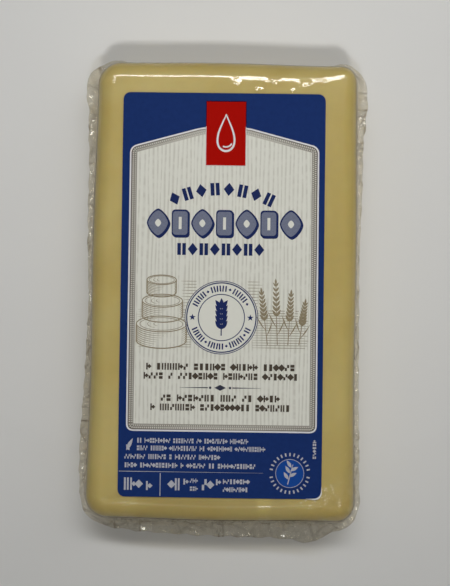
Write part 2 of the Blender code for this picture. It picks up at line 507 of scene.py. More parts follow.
@dataclass(frozen=True)
class FilmFinish:
    """Clear, clinging plastic: it lets most light through, and mirrors more at a glancing view.

    The attributes on the film's mesh say where it is crinkled, glossy, part of the rim, broken into
    small facets, or has folds. Its transparent colour holds painted shade: darker along the folds and
    on the foot's edge, and darker and warmer on crinkled film, partly the haze of crumpled film and
    partly painted shade with warm light from the cheese.
    """

    name: str = "clear_film"
    tint: Colour = (0.95, 0.94, 0.905)
    mirror: Colour = (0.97, 0.97, 0.96)
    roughness: float = 0.10
    front: float = 0.050
    glance: float = 0.60
    haze: float = 0.05
    # Darker, warmer tint of crinkled film: partly the haze of crumpled film, partly painted shade and
    # warm light bounced from the cheese.
    crinkle_haze_and_shade: Colour = (0.970, 0.948, 0.890)
    # Painted shade along the folds: the film's tint is drawn towards this darker colour there.
    fold: Colour = (0.60, 0.54, 0.45)
    deep: Colour = (0.60, 0.55, 0.47)
    # Painted shade: the darker tint on the block's foot edge, where the film keeps little gloss.
    painted_foot_shade: Colour = (0.825, 0.805, 0.785)
    coarse: Facets = Facets(1.6 * MM, 0.75, 0.05)
    small: Facets = Facets(0.62 * MM, 0.36, 0.13)
    small_on_rim: float = 0.35
    fold_shade_share: float = 0.85
    waves_worn: float = 0.12 * MM
    waves_plain: float = 0.007 * MM

    def build(self) -> bpy.types.Material:
        """Builds the material: transparent and mirror shaders, mixed by the angle of view.

        Returns:
            The material.
        """
        material, tree, output = new_material(self.name)
        crinkle, shine_unshaded, rim, cluster, folds = (
            tree.add("Attribute", None, attribute_name=name).outputs["Fac"]
            for name in ("crinkle", "shine_unshaded", "rim", "cluster", "folds")
        )
        coarse = self.coarse.height(tree, rim)
        broken = tree.maths("MULTIPLY_ADD", rim, self.small_on_rim, cluster)
        small = self.small.height(tree, broken)
        fine = mottled(tree, self.tint, 0.0, 1100.0, 3.0).outputs["Height"]
        tall = tree.maths("MULTIPLY_ADD", crinkle, self.waves_worn, self.waves_plain)
        waves = tree.maths("MULTIPLY", fine, tall)
        height = tree.maths("ADD", waves, tree.maths("ADD", coarse, small))
        bump = tree.add("Bump", {"Strength": 1.0, "Distance": 1.0, "Height": height})
        angle_values = {"Blend": 0.5, "Normal": bump.outputs["Normal"]}
        facing = tree.add("LayerWeight", angle_values).outputs["Facing"]
        rise = tree.maths("MULTIPLY", tree.maths("POWER", facing, 5.0), self.glance)
        plain = tree.maths("ADD", rise, tree.maths("MULTIPLY_ADD", crinkle, self.haze, self.front))
        share = tree.maths("MULTIPLY", plain, shine_unshaded)
        mirror_values = {
            "Base Color": (*self.mirror, 1),
            "Metallic": 1.0,
            "Roughness": self.roughness,
            "Normal": bump.outputs["Normal"],
        }
        mirror = tree.add("BsdfPrincipled", mirror_values)
        edge = tree.maths("POWER", facing, 2.0)
        # Painted shade: where the film keeps little gloss, on the foot's edge, its tint turns darker.
        tint_with_foot_shade = tree.tinted(shine_unshaded, self.painted_foot_shade, self.tint)
        # Crinkled film takes the darker, warmer tint: partly haze, partly painted shade and bounced
        # light.
        crinkle_haze_and_shade = tree.tinted(crinkle, tint_with_foot_shade, self.crinkle_haze_and_shade)
        # Painted shade: the tint turns darker along the folds.
        fold_shaded = tree.tinted(tree.maths("MULTIPLY", folds, self.fold_shade_share), crinkle_haze_and_shade, self.fold)
        shade = tree.tinted(edge, fold_shaded, self.deep)
        clear = tree.add("BsdfTransparent", {"Color": shade})
        mix = tree.add("MixShader", {0: share, 1: clear.outputs[0], 2: mirror.outputs[0]})
        tree.tree.links.new(mix.outputs[0], output.inputs["Surface"])
        return material


@dataclass(frozen=True)
class FloorFinish:
    """The pale table top."""

    name: str = "table_top"
    colour: Colour = (0.80, 0.80, 0.785)

    def build(self) -> bpy.types.Material:
        """Builds the material.

        Returns:
            The material.
        """
        material, tree, output = new_material(self.name)
        colour = mottled(tree, self.colour, 0.03, 30.0, 3.0).outputs["Colour"]
        values = {"Base Color": colour, "Roughness": 0.7, "Specular IOR Level": 0.2}
        shader = tree.add("BsdfPrincipled", values)
        tree.tree.links.new(shader.outputs[0], output.inputs["Surface"])
        return material


# The block's form, which all three pieces share


@dataclass(frozen=True)
class Outline:
    """Points round the block's plan, with their outward normals and distances along it."""

    points: np.ndarray
    normals: np.ndarray
    distance: np.ndarray
    runs: dict[Side, tuple[float, float]]
    whole: float

    def interpolated(self, places: list[float], values: list[float], shift: float) -> np.ndarray:
        """Straight lines between values at named places, evened out by the mean of three.

        Args:
            places: Distances along the outline.
            values: One value for each place.
            shift: How far the outer two of the three lie to either side.

        Returns:
            One value for each point.
        """
        shifts = (-shift, 0.0, shift)
        return sum(np.interp(self.distance + s, places, values, period=self.whole) for s in shifts) / 3


@dataclass(frozen=True)
class BlockForm:
    """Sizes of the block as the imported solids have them, and the distortion that they share."""

    width: float = 78.1
    length: float = 135.2
    thickness: float = 22.5
    taper: float = 1.7
    top_radius: float = 4.5
    bottom_radius: float = 3.5
    corner_radii: tuple[float, float, float, float] = (6.5, 5.5, 5.0, 7.0)
    top_ease: float = 5.6
    head_ease: float = 0.45
    crown: float = 0.40
    top_wave: float = 0.16
    top_wave_lengths: tuple[float, float] = (52.0, 67.0)
    side_wave: float = 0.20
    side_wave_lengths: tuple[float, float] = (61.0, 83.0)

    def half_width(self, y: np.ndarray | float) -> np.ndarray | float:
        """Half the width, which shrinks evenly from the foot to the head."""
        return self.width / 2 - self.taper / 2 * y / self.length

    def offset(self) -> np.ndarray:
        """Where the block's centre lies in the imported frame."""
        low, high = (np.array(corner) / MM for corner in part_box("cheese_block"))
        return np.array(((low[0] + high[0]) / 2, (low[1] + high[1]) / 2, 0.0))

    def ease(self, outline: Outline) -> np.ndarray:
        """How far in from the walls the top rounding starts, for each point of the outline.

        It is a little more than the rounding's height, more again on the right half of the head,
        and less than a tight corner's radius. Straight lines between these are evened out.

        Args:
            outline: The plan.

        Returns:
            N by 1 array.
        """
        places, values = [], []
        for side in Side:
            start, end = outline.runs[side]
            middle = (start + end) / 2
            corners = (self.corner_radii[side.value], self.corner_radii[(side.value + 1) % 4])
            first, last = (min(radius - 0.9, self.top_ease) for radius in corners)
            early = self.top_ease + (self.head_ease if side is Side.HEAD else 0.0)
            places += [start, start + 7, middle - 2, middle + 7, end - 7, end]
            values += [first, early, early, self.top_ease, self.top_ease, last]
        return outline.interpolated(places, values, 2.5)[:, None]

    def settle(self, points: np.ndarray, sway: float = 1.0) -> np.ndarray:
        """Distorts straight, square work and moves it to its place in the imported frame.

        Heights grow with z by a crown, highest in the middle, and by a shallow product of two
        sines. X and y move by long sines that grow from the middle line to the walls.

        Args:
            points: Array of which the last axis holds x, y and z.
            sway: Share of the sideways movement that is wanted.

        Returns:
            The moved points, in an array of the same shape.
        """
        x, y, z = points[..., 0], points[..., 1], points[..., 2]
        across, along = x / (self.width / 2), y / (self.length / 2)
        crown = self.crown * (1 - np.minimum(across**2, 1)) * (1 - np.minimum(along**2, 1))
        length_x, length_y = self.top_wave_lengths
        wave = np.sin(2 * pi * x / length_x + 0.6) * np.sin(2 * pi * y / length_y + 1.1)
        side_x, side_y = self.side_wave_lengths
        moved = np.stack(
            (
                x + sway * self.side_wave * across * np.sin(2 * pi * y / side_y + 0.4),
                y + sway * self.side_wave * along * np.sin(2 * pi * x / side_x + 1.9),
                z + z / self.thickness * (crown + self.top_wave * wave),
            ),
            axis=-1,
        )
        return moved + self.offset()

    def outline(self, spacing: float) -> Outline:
        """The plan as a straight run for each side and a quarter circle for each corner.

        Args:
            spacing: Distance between neighbouring points on the straight runs.

        Returns:
            The outline, anticlockwise from the foot's left corner.
        """
        signs = ((-1, -1), (1, -1), (1, 1), (-1, 1))
        centres = []
        for (sign_x, sign_y), radius in zip(signs, self.corner_radii):
            y = sign_y * (self.length / 2 - radius)
            centres.append(np.array((sign_x * (self.half_width(y) - radius), y)))
        points, normals, runs = [], [], {}
        travelled = 0.0
        for side in Side:
            turn, following = side.value, (side.value + 1) % 4
            outward = -pi / 2 + turn * pi / 2
            normal = np.array((cos(outward), sin(outward)))
            start = centres[turn] + self.corner_radii[turn] * normal
            end = centres[following] + self.corner_radii[following] * normal
            run = float(np.linalg.norm(end - start))
            shares = np.linspace(0, 1, round(run / spacing), endpoint=False)[:, None]
            points.append(start + shares * (end - start))
            normals.append(np.repeat(normal[None], len(shares), axis=0))
            runs[side] = (travelled, travelled + run)
            radius = self.corner_radii[following]
            count = round(radius * pi / 2 / spacing * 1.4)
            angles = np.linspace(outward, outward + pi / 2, count, endpoint=False)
            directions = np.stack((np.cos(angles), np.sin(angles)), axis=-1)
            points.append(centres[following] + radius * directions)
            normals.append(directions)
            travelled += run + radius * pi / 2
        joined, facing = np.concatenate(points), np.concatenate(normals)
        steps = np.linalg.norm(np.roll(joined, -1, axis=0) - joined, axis=1)
        distance = np.concatenate(([0.0], np.cumsum(steps)[:-1]))
        return Outline(joined, facing, distance, runs, float(steps.sum()))

    def inward(self, outline: Outline, radius: float | np.ndarray, insets: np.ndarray) -> np.ndarray:
        """Rings on a flat face, drawn in from the face's rounded edge.

        Each ring is the edge ring with x and y shrunk separately, so that it stays evenly far
        from the edge all round.

        Args:
            outline: The plan.
            radius: The edge's rounding, one number or one for each point.
            insets: How far in each ring lies.

        Returns:
            Rings by points by 2 array.
        """
        edge = outline.points - radius * outline.normals
        reach = np.array((self.width / 2, self.length / 2)) - np.mean(radius)
        return edge[None] * (1 - insets[:, None, None] / reach)


@dataclass(frozen=True)
class Crumple:
    """Ridges as in crumpled film: one less the size of a sum of waves, sharp where it crosses zero."""

    seed: int
    wavelength: float
    waves: int = 9

    def ridges(self, s: np.ndarray, w: np.ndarray, whole: float) -> np.ndarray:
        """The ridges' height, from 0 to 1.

        Args:
            s: Distance round the block.
            w: Distance across the film.
            whole: The length after which s starts again.

        Returns:
            Heights in an array of the shape of s and w together.
        """
        rng = np.random.default_rng(self.seed)
        angles = rng.uniform(0, pi, self.waves)
        lengths = self.wavelength * rng.uniform(0.6, 1.7, self.waves)
        phases = rng.uniform(0, 2 * pi, self.waves)
        total = np.zeros(np.broadcast(s, w).shape)
        for angle, length, phase in zip(angles, lengths, phases):
            round_trips = round(cos(angle) / length * whole)
            total += np.sin(round_trips * 2 * pi / whole * s + 2 * pi * sin(angle) / length * w + phase)
        return np.clip(1 - np.abs(total) / (0.9 * self.waves**0.5), 0, 1)


@dataclass
class Cheese:
    """The block of cheese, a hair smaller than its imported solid, with faint hollows in its faces."""

    form: BlockForm
    spacing: float = 0.9
    inset: float = 0.12
    hollow: float = 0.10
    finish: CheeseFinish = field(default_factory=CheeseFinish)

    def rings(self) -> tuple[np.ndarray, Outline]:
        """The surface as rings: top face, top rounding, wall, bottom rounding, underside.

        Returns:
            Rings by points by 3 array, and the outline.
        """
        form = self.form
        outline = form.outline(self.spacing)
        columns = len(outline.points)
        ease = form.ease(outline)
        top = form.inward(outline, ease, np.array((30.0, 26, 22, 18, 14, 10, 7, 4.5, 3, 2, 1)))
        bottom = form.inward(outline, form.bottom_radius, np.array((1.0, 3, 7, 14, 22, 30)))
        over, under = np.linspace(0, pi / 2, 13), np.linspace(0, pi / 2, 10)
        walls = np.linspace(form.thickness - form.top_radius, form.bottom_radius, 16)[1:-1]
        low = np.concatenate((np.zeros(len(walls)), form.bottom_radius * (np.cos(under) - 1)))
        high = (np.sin(over) - 1)[:, None] * ease[:, 0]
        out = np.concatenate((high, np.repeat(low[:, None], columns, axis=1)))
        height = np.concatenate(
            (
                form.thickness - form.top_radius * (1 - np.cos(over)),
                walls,
                form.bottom_radius * (1 - np.sin(under)),
            )
        )
        sides = outline.points[None] + (out[..., None] - self.inset) * outline.normals[None]
        plan = np.concatenate((top, sides, bottom))
        z = np.concatenate((np.full(len(top), form.thickness), height, np.zeros(len(bottom))))
        z = np.clip(z, self.inset, form.thickness - self.inset)
        rings = np.concatenate((plan, np.broadcast_to(z[:, None, None], (len(z), columns, 1))), axis=2)
        return rings, outline

    def build(self) -> Object:
        """Builds and dresses the cheese.

        Returns:
            The object.
        """
        rings, _ = self.rings()
        normals = ring_normals(rings)
        x, y, z = rings[..., 0], rings[..., 1], rings[..., 2]
        low = np.sin(x / 9.3 + 1.2 * np.sin(y / 17)) * np.sin(y / 12.1 + np.sin(x / 11)) * np.cos(z / 8)
        rings = rings - self.hollow * (0.5 + 0.5 * low)[..., None] * normals
        poles = np.array(((0, 0, self.form.thickness - self.inset), (0, 0, self.inset)))
        points = np.concatenate((rings.reshape(-1, 3), poles))
        faces = ring_faces(*rings.shape[:2])
        cheese = write_mesh("cheese", self.form.settle(points), faces, smooth=True)
        deliver(cheese, self.finish.build(), "cheese_block")
        return cheese


@dataclass(frozen=True)
class Patch:
    """A place on the clinging film that is wrinkled: its middle, half sizes and strength."""

    x: float
    y: float
    across: float
    along: float
    strength: float


@dataclass
class FilmPouch:
    """The clear pouch: one closed surface that clings to the cheese and stands out as a rim."""

    form: BlockForm
    spacing: float = 0.42
    cling: float = 0.04
    shoulder: float = 10.0
    seam_height: float = 11.0
    seam_half: float = 0.16
    rise_side: float = 3.4
    rise_foot: float = 6.0
    depth_side: float = 1.2
    depth_foot: float = 3.0
    slope_power: float = 1.62
    seam_sway: float = 0.7
    seam_sways: int = 5
    ripple: float = 0.40
    ripple_length: float = 8.5
    edge_ripple: float = 0.18
    edge_ripple_length: float = 6.2
    full_reach: float = 4.0
    # A side, a share of the way along it, and how far the seam stands out there
    reaches: tuple[tuple[Side, float, float], ...] = (
        (Side.FOOT, 0.00, 4.0),
        (Side.FOOT, 0.10, 5.0),
        (Side.FOOT, 0.50, 5.9),
        (Side.FOOT, 0.78, 6.6),
        (Side.FOOT, 0.90, 8.3),
        (Side.FOOT, 1.00, 4.2),
        (Side.RIGHT, 0.00, 2.2),
        (Side.RIGHT, 0.35, 2.1),
        (Side.RIGHT, 0.60, 1.6),
        (Side.RIGHT, 0.74, 2.2),
        (Side.RIGHT, 0.86, 2.6),
        (Side.RIGHT, 0.97, 4.2),
        (Side.HEAD, 0.00, 2.2),
        (Side.HEAD, 0.12, 1.3),
        (Side.HEAD, 0.95, 1.3),
        (Side.HEAD, 1.00, 1.8),
        (Side.LEFT, 0.00, 5.0),
        (Side.LEFT, 0.04, 3.6),
        (Side.LEFT, 0.10, 3.6),
        (Side.LEFT, 0.18, 2.9),
        (Side.LEFT, 0.30, 2.6),
        (Side.LEFT, 0.52, 1.6),
        (Side.LEFT, 0.85, 3.3),
        (Side.LEFT, 0.96, 3.1),
        (Side.LEFT, 1.00, 2.4),
    )
    # Where the clinging film is wrinkled: the foot's corners and edge, then the head's right half
    patches: tuple[Patch, ...] = (
        Patch(33.0, -62.5, 9.0, 5.5, 1.0),
        Patch(37.5, -57.0, 3.5, 8.0, 0.8),
        Patch(-31.0, -64.5, 9.0, 3.0, 0.7),
        Patch(12.0, 60.5, 11.0, 2.6, 0.12),
        Patch(2.5, 60.2, 1.5, 1.6, 0.9),
        Patch(10.2, 58.9, 2.6, 0.9, 0.9),
        Patch(13.2, 61.1, 1.8, 1.5, 1.0),
        Patch(19.4, 58.9, 1.4, 0.9, 0.8),
        Patch(23.1, 60.6, 2.2, 1.4, 1.0),
        Patch(27.8, 62.4, 2.0, 1.9, 1.0),
        Patch(-36.5, 58.0, 3.0, 7.0, 0.5),
        Patch(0.0, -66.0, 34.0, 2.0, 0.35),
    )
    # Middle and half length of the foot's glossy streaks, and of the bands pressed flat there
    streaks: tuple[tuple[float, float], ...] = ((-36.5, 5.5), (-26.5, 3.4), (13.0, 3.0))
    foot_bands: tuple[tuple[float, float], ...] = ((-35.5, 3.6), (-26.5, 2.4), (13.0, 2.0))
    # Of the bands at the head and at the foot: tilt, distance from the walls, and depth
    flat_tilts: tuple[float, float] = (radians(5.6), radians(7.6))
    band_margins: tuple[float, float] = (4.5, 1.5)
    flat_depth: tuple[float, float] = (0.004, 0.042)
    foot_band_depth: tuple[float, float] = (-0.012, 0.030)
    band_zone: float = 2.2
    # Heights of wide ridges, fine ridges and folds, on the rim and on the wrinkled places
    wide_crumple: Crumple = Crumple(11, 5.2)
    fine_crumple: Crumple = Crumple(23, 2.1, 11)
    rim_relief: tuple[float, float, float] = (0.12, 0.08, 0.17)
    patch_relief: tuple[float, float, float] = (0.10, 0.16, 0.16)
    crease_seed: int = 41
    crease_count: int = 1300
    crease_zone: tuple[float, float] = (22.0, 62.0)
    finish: FilmFinish = field(default_factory=FilmFinish)

    def reach(self, outline: Outline) -> np.ndarray:
        """How far the seam stands out at each point of the outline.

        Straight lines between the named places are eased by a mean over two millimetres each way,
        and a short wave is added, weaker where the seam is narrow.

        Args:
            outline: The block's plan.

        Returns:
            One reach for each point.
        """
        places, values = [], []
        for side, share, value in self.reaches:
            start, end = outline.runs[side]
            places.append(start + share * (end - start))
            values.append(value)
        reach = outline.interpolated(places, values, 2.0)
        turns = outline.distance / outline.whole * 2 * pi
        waves = round(outline.whole / self.edge_ripple_length)
        return reach + self.edge_ripple * np.sin(waves * turns) * np.minimum(reach / self.full_reach, 1)

    def rings(self) -> tuple[np.ndarray, np.ndarray, Outline]:
        """The whole surface as rings, and the mask of how much each may be crumpled.

        From the top face's edge the rings run over the rounding and down the wall to the tent.
        The tent's height falls to the seam by a power of what is left of its depth. The seam runs
        out to its reach, and all returns below it. The wall's rings go straight on underneath.

        Returns:
            The rings, a mask of the same rows and columns, and the outline.
        """
        form = self.form
        outline = form.outline(self.spacing)
        turns = outline.distance / outline.whole * 2 * pi
        reach = self.reach(outline)
        seam = self.seam_height + self.seam_sway * np.sin(self.seam_sways * turns + 0.8)
        share = np.minimum(reach / self.full_reach, 1)
        ripples = round(outline.whole / self.ripple_length)
        ripple = self.ripple * np.sin(ripples * turns + 1.7 * np.sin(3 * turns)) * share
        foot = np.clip((-outline.points[:, 1] - form.length / 2 + 8.0) / 8.0, 0, 1)
        rise = self.rise_side + foot * (self.rise_foot - self.rise_side)
        depth = np.minimum(self.depth_side + foot * (self.depth_foot - self.depth_side), 0.6 * reach)
        out, height, crumple = [], [], []

        def row(outs: np.ndarray | float, heights: np.ndarray | float, mask: float) -> None:
            """Adds one ring.

            Args:
                outs: How far it lies out of the block.
                heights: Its height.
                mask: How much it may be crumpled.
            """
            out.append(np.broadcast_to(outs, reach.shape))
            height.append(np.broadcast_to(heights, reach.shape))
            crumple.append(np.full(reach.shape, mask))

        ease = form.ease(outline)
        top_height = form.thickness + self.cling
        for angle in np.linspace(0, pi / 2, 20):
            fall = form.top_radius * (1 - cos(angle))
            row(self.cling - ease[:, 0] * (1 - sin(angle)), top_height - fall, 0.0)
        start = top_height - form.top_radius
        for part in (0.3, 0.6, 0.85):
            row(self.cling, start + part * (seam + rise - start), 0.1)
        half = self.seam_half
        tent_out = depth - self.cling
        for part in np.linspace(0, 1, 9)[:-1]:
            slope = (rise - half) * (1 - part) ** self.slope_power
            row(self.cling + part * tent_out, seam + half + slope, 0.25 + 0.75 * part)
        for part in np.linspace(0, 1, 9)[:-1]:
            row(depth + part * (reach - depth), seam + half + part * ripple, 1.0)
        row(reach, seam + ripple + half * 0.7, 1.0)
        row(reach, seam + ripple - half * 0.7, 1.0)
        for part in np.linspace(1, 0, 6)[1:]:
            row(depth + part * (reach - depth), seam - half + part * ripple, 1.0)
        for part in np.linspace(1, 0, 6)[1:]:
            slope = (rise - half) * (1 - part) ** self.slope_power
            row(self.cling + part * tent_out, seam - half - slope, 0.25 + 0.75 * part)
        low, round_off = seam - rise, form.bottom_radius
        for part in (0.3, 0.65):
            row(self.cling, low + part * (round_off - low), 0.1)
        for angle in np.linspace(0, pi / 2, 7):
            row(self.cling - round_off * (1 - cos(angle)), round_off * (1 - sin(angle)), 0.0)
        sides = outline.points[None] + np.array(out)[..., None] * outline.normals[None]
        sides = np.concatenate((sides, np.array(height)[..., None]), axis=2)
        far_insets = self.shoulder + np.array((20.0, 12, 5))
        insets = np.concatenate((far_insets, np.linspace(self.shoulder, 0, 25)[:-1]))
        top = form.inward(outline, ease, insets)
        bottom = form.inward(outline, round_off, np.array((3.0, 12.0)))
        flat_top = np.full((*top.shape[:2], 1), top_height)
        flat_bottom = np.zeros((*bottom.shape[:2], 1))
        over = np.concatenate((top, flat_top), axis=2)
        under = np.concatenate((bottom, flat_bottom), axis=2)
        rings = np.concatenate((over, sides, under))
        mask = np.concatenate((np.zeros(top.shape[:2]), np.array(crumple), np.zeros(bottom.shape[:2])))
        return rings, mask, outline

    def flatten(self, rings: np.ndarray, ease: np.ndarray) -> np.ndarray:
        """Presses narrow, slightly tilted bands flat along the top rounding at the head and foot.

        The rounding is cut by a plane that lies parallel to its tangent at the band's tilt, and a
        little below it. At the head that is hardly at all on the left half, and more, with a slow
        waver, on the right half. At the foot there are a few short bands.

        Args:
            rings: The surface.
            ease: How far in the rounding starts, for each point of the outline.

        Returns:
            The surface with the bands.
        """
        form = self.form
        x, y, z = rings[..., 0], rings[..., 1], rings[..., 2]
        share = eased((x + 6.0) / 14.0) * (1 - 0.35 * np.cos(x / 2.3 + 1.5 * np.sin(x / 4.1)))
        share = share * (1 + 0.35 * eased((x - 20.0) / 10.0))
        shallow, full = self.flat_depth
        short = sum(eased((half - np.abs(x - middle)) / 1.5) for middle, half in self.foot_bands)
        above, below = self.foot_band_depth
        depths = (shallow + (full - shallow) * share, above + below * short)
        lowered = z
        for sign, tilt, depth, margin in zip((1, -1), self.flat_tilts, depths, self.band_margins):
            turn = np.arctan(ease[:, 0] / form.top_radius * tan(tilt))
            touch_y = form.length / 2 + self.cling - ease[:, 0] * (1 - np.sin(turn))
            touch_z = form.thickness + self.cling - form.top_radius * (1 - np.cos(turn))
            plane = touch_z - tan(tilt) * (sign * y - touch_y) - depth
            near = np.abs(sign * y - touch_y) < self.band_zone
            pressed = near & (np.abs(x) < form.width / 2 - margin) & (z > form.thickness / 2)
            lowered = np.where(pressed, np.minimum(lowered, plane), lowered)
        return np.stack((x, y, lowered), axis=-1)

    def patch_mask(self, rings: np.ndarray) -> np.ndarray:
        """How wrinkled the clinging film is: each patch fades with the square of its distance.

        Args:
            rings: The surface.

        Returns:
            Values from 0 to 1.
        """
        mask = np.zeros(rings.shape[:2])
        for patch in self.patches:
            across = (rings[..., 0] - patch.x) / patch.across
            along = (rings[..., 1] - patch.y) / patch.along
            mask = np.maximum(mask, patch.strength * np.exp(-(across**2) - along**2))
        return mask * eased((rings[..., 2] - 6.0) / 6.0)

    def shine_unshaded(self, rings: np.ndarray, clinging: np.ndarray) -> np.ndarray:
        """How much of its gloss the film keeps.

        That is little on the foot's edge, apart from its wrinkled places and a few short streaks. The
        same mask tints the film darker there: painted shade on the block's foot edge.

        Args:
            rings: The surface.
            clinging: How wrinkled the clinging film is.

        Returns:
            Values from 0 to 1.
        """
        x, y, z = rings[..., 0], rings[..., 1], rings[..., 2]
        # Mask of the foot's edge: less gloss there, and painted shade in the film's tint.
        painted_foot_shade = eased((-y - self.form.length / 2 + 8.5) / 2.0) * eased((z - 15.0) / 3.0)
        kept = np.zeros_like(x)
        for middle, half in self.streaks:
            kept = np.maximum(kept, eased((half - np.abs(x - middle)) / 2.0))
        kept = np.maximum(kept, np.clip(1.6 * clinging, 0, 1))
        return 1 - 0.93 * painted_foot_shade * (1 - kept)

    def creases(self, s: np.ndarray, w: np.ndarray, whole: float) -> np.ndarray:
        """Thin folds across and along the rim, each a narrow bell along a short, seeded line.

        Args:
            s: Distance round the block, one row.
            w: Distance across the film, one column.
            whole: The length after which s starts again.

        Returns:
            Heights from 0 to 1, rows by columns.
        """
        rng = np.random.default_rng(self.crease_seed)
        total = np.zeros((w.size, s.size))
        low, high = self.crease_zone
        for _ in range(self.crease_count):
            middle_s, middle_w = rng.uniform(0, whole), rng.uniform(low, high)
            angle = rng.normal(pi / 2, 0.75) if rng.random() < 0.42 else rng.normal(0, 0.42)
            half, width = rng.uniform(1.0, 4.2), rng.uniform(0.18, 0.34)
            height = rng.uniform(0.3, 1.0)
            away = (s[0] - middle_s + whole / 2) % whole - whole / 2
            near = np.flatnonzero(np.abs(away) < half + 1.5)
            ds, dw = away[near][None], w - middle_w
            along = ds * cos(angle) + dw * sin(angle)
            beside = -ds * sin(angle) + dw * cos(angle)
            bell = np.exp(-((beside / width) ** 2))
            fold = height * bell * eased((half - np.abs(along)) / (0.6 * half))
            total[:, near] = np.maximum(total[:, near], fold)
        return total

    def build(self) -> Object:
        """Builds and dresses the pouch.

        Returns:
            The object.
        """
        rings, mask, outline = self.rings()
        rings = self.flatten(rings, self.form.ease(outline))
        normals = ring_normals(rings)
        steps = np.linalg.norm(np.diff(rings, axis=0), axis=2).mean(axis=1)
        across = np.concatenate(([0.0], np.cumsum(steps)))[:, None]
        around = outline.distance[None]
        wide = self.wide_crumple.ridges(around, across, outline.whole)
        fine = self.fine_crumple.ridges(around, across, outline.whole)
        creases = self.creases(around, across, outline.whole)
        clinging = self.patch_mask(rings) * (1 - mask)
        height = 0
        for where, relief in ((mask, self.rim_relief), (clinging, self.patch_relief)):
            forms = zip(relief, (wide, fine, creases))
            height = height + where * sum(share * form for share, form in forms)
        rings = rings + height[..., None] * normals
        crinkle = np.clip(np.maximum(mask, clinging), 0, 1)
        poles = np.array(((0, 0, self.form.thickness + self.cling), (0, 0, 0.0)))
        points = self.form.settle(np.concatenate((rings.reshape(-1, 3), poles)))
        pouch = write_mesh("film", points, ring_faces(*rings.shape[:2]), smooth=True)
        cluster = np.where(rings[..., 1] < 0, clinging, 0.0)
        folds = np.clip(creases * np.maximum(mask, 0.35 * cluster), 0, 1)
        fields = {"crinkle": crinkle, "folds": folds, "rim": mask, "cluster": cluster}
        for name, values in fields.items():
            add_attribute(pouch, name, np.concatenate((values.ravel(), (0.0, 0.0))))
        shine_unshaded = self.shine_unshaded(rings, clinging)
        add_attribute(pouch, "shine_unshaded", np.concatenate((shine_unshaded.ravel(), (1.0, 1.0))))
        deliver(pouch, self.finish.build(), "film_pouch")
        return pouch


# Flat shapes on the label


def arc(centre: tuple[float, float], radius: float | tuple[float, float], start: float, end: float,
        count: int) -> np.ndarray:
    """Points on an arc of a circle, or of an upright ellipse.

    Args:
        centre: The circle's centre.
        radius: Its radius, or an ellipse's two half axes.
        start: First angle, in degrees.
        end: Last angle, in degrees.
        count: Number of points.

    Returns:
        Count by 2 array.
    """
    angles = np.radians(np.linspace(start, end, count))
    return np.array(centre) + np.array(radius) * np.stack((np.cos(angles), np.sin(angles)), axis=-1)


def travelled(path: np.ndarray) -> np.ndarray:
    """The distance along a path at each of its points."""
    return np.concatenate(([0.0], np.cumsum(np.linalg.norm(np.diff(path, axis=0), axis=1))))


def points_at(path: np.ndarray, run: np.ndarray, places: np.ndarray) -> np.ndarray:
    """A path's points at the given places, where run holds the place of each of its own."""
    return np.stack([np.interp(places, run, path[:, axis]) for axis in (0, 1)], axis=-1)


def resampled(path: np.ndarray, step: float) -> np.ndarray:
    """The same path with points at most a step apart.

    Args:
        path: N by 2 array.
        step: Greatest distance between points.

    Returns:
        M by 2 array.
    """
    run = travelled(path)
    places = np.union1d(run, np.linspace(0, run[-1], max(2, int(run[-1] / step) + 2)))
    return points_at(path, run, places)


def rounded(corners: np.ndarray, radius: float, inset: float = 0.0) -> np.ndarray:
    """A closed polygon with each corner rounded by a quadratic curve, drawn in by an inset.

    Each side moves in by the inset along its normal, and neighbouring sides meet at their crossing.

    Args:
        corners: N by 2 array, anticlockwise.
        radius: How far from a corner the rounding starts.
        inset: How far the sides move in.

    Returns:
        A closed path, of which the last point repeats the first. Its number of points doesn't
        depend on radius or inset.
    """
    ahead = np.roll(corners, -1, axis=0) - corners
    ahead = ahead / np.linalg.norm(ahead, axis=1, keepdims=True)
    behind = np.roll(ahead, 1, axis=0)
    inward_ahead = np.stack((-ahead[:, 1], ahead[:, 0]), axis=-1)
    inward_behind = np.roll(inward_ahead, 1, axis=0)
    bend = 1 + (inward_ahead * inward_behind).sum(axis=1, keepdims=True)
    moved = corners + inset * (inward_ahead + inward_behind) / bend
    keep = max(radius - inset, 0.15)
    t = np.linspace(0, 1, 9)[None, :, None]
    enter, leave = moved - keep * behind, moved + keep * ahead
    curve = (1 - t) ** 2 * enter[:, None] + 2 * t * (1 - t) * moved[:, None] + t**2 * leave[:, None]
    path = curve.reshape(-1, 2)
    return np.concatenate((path, path[:1]))


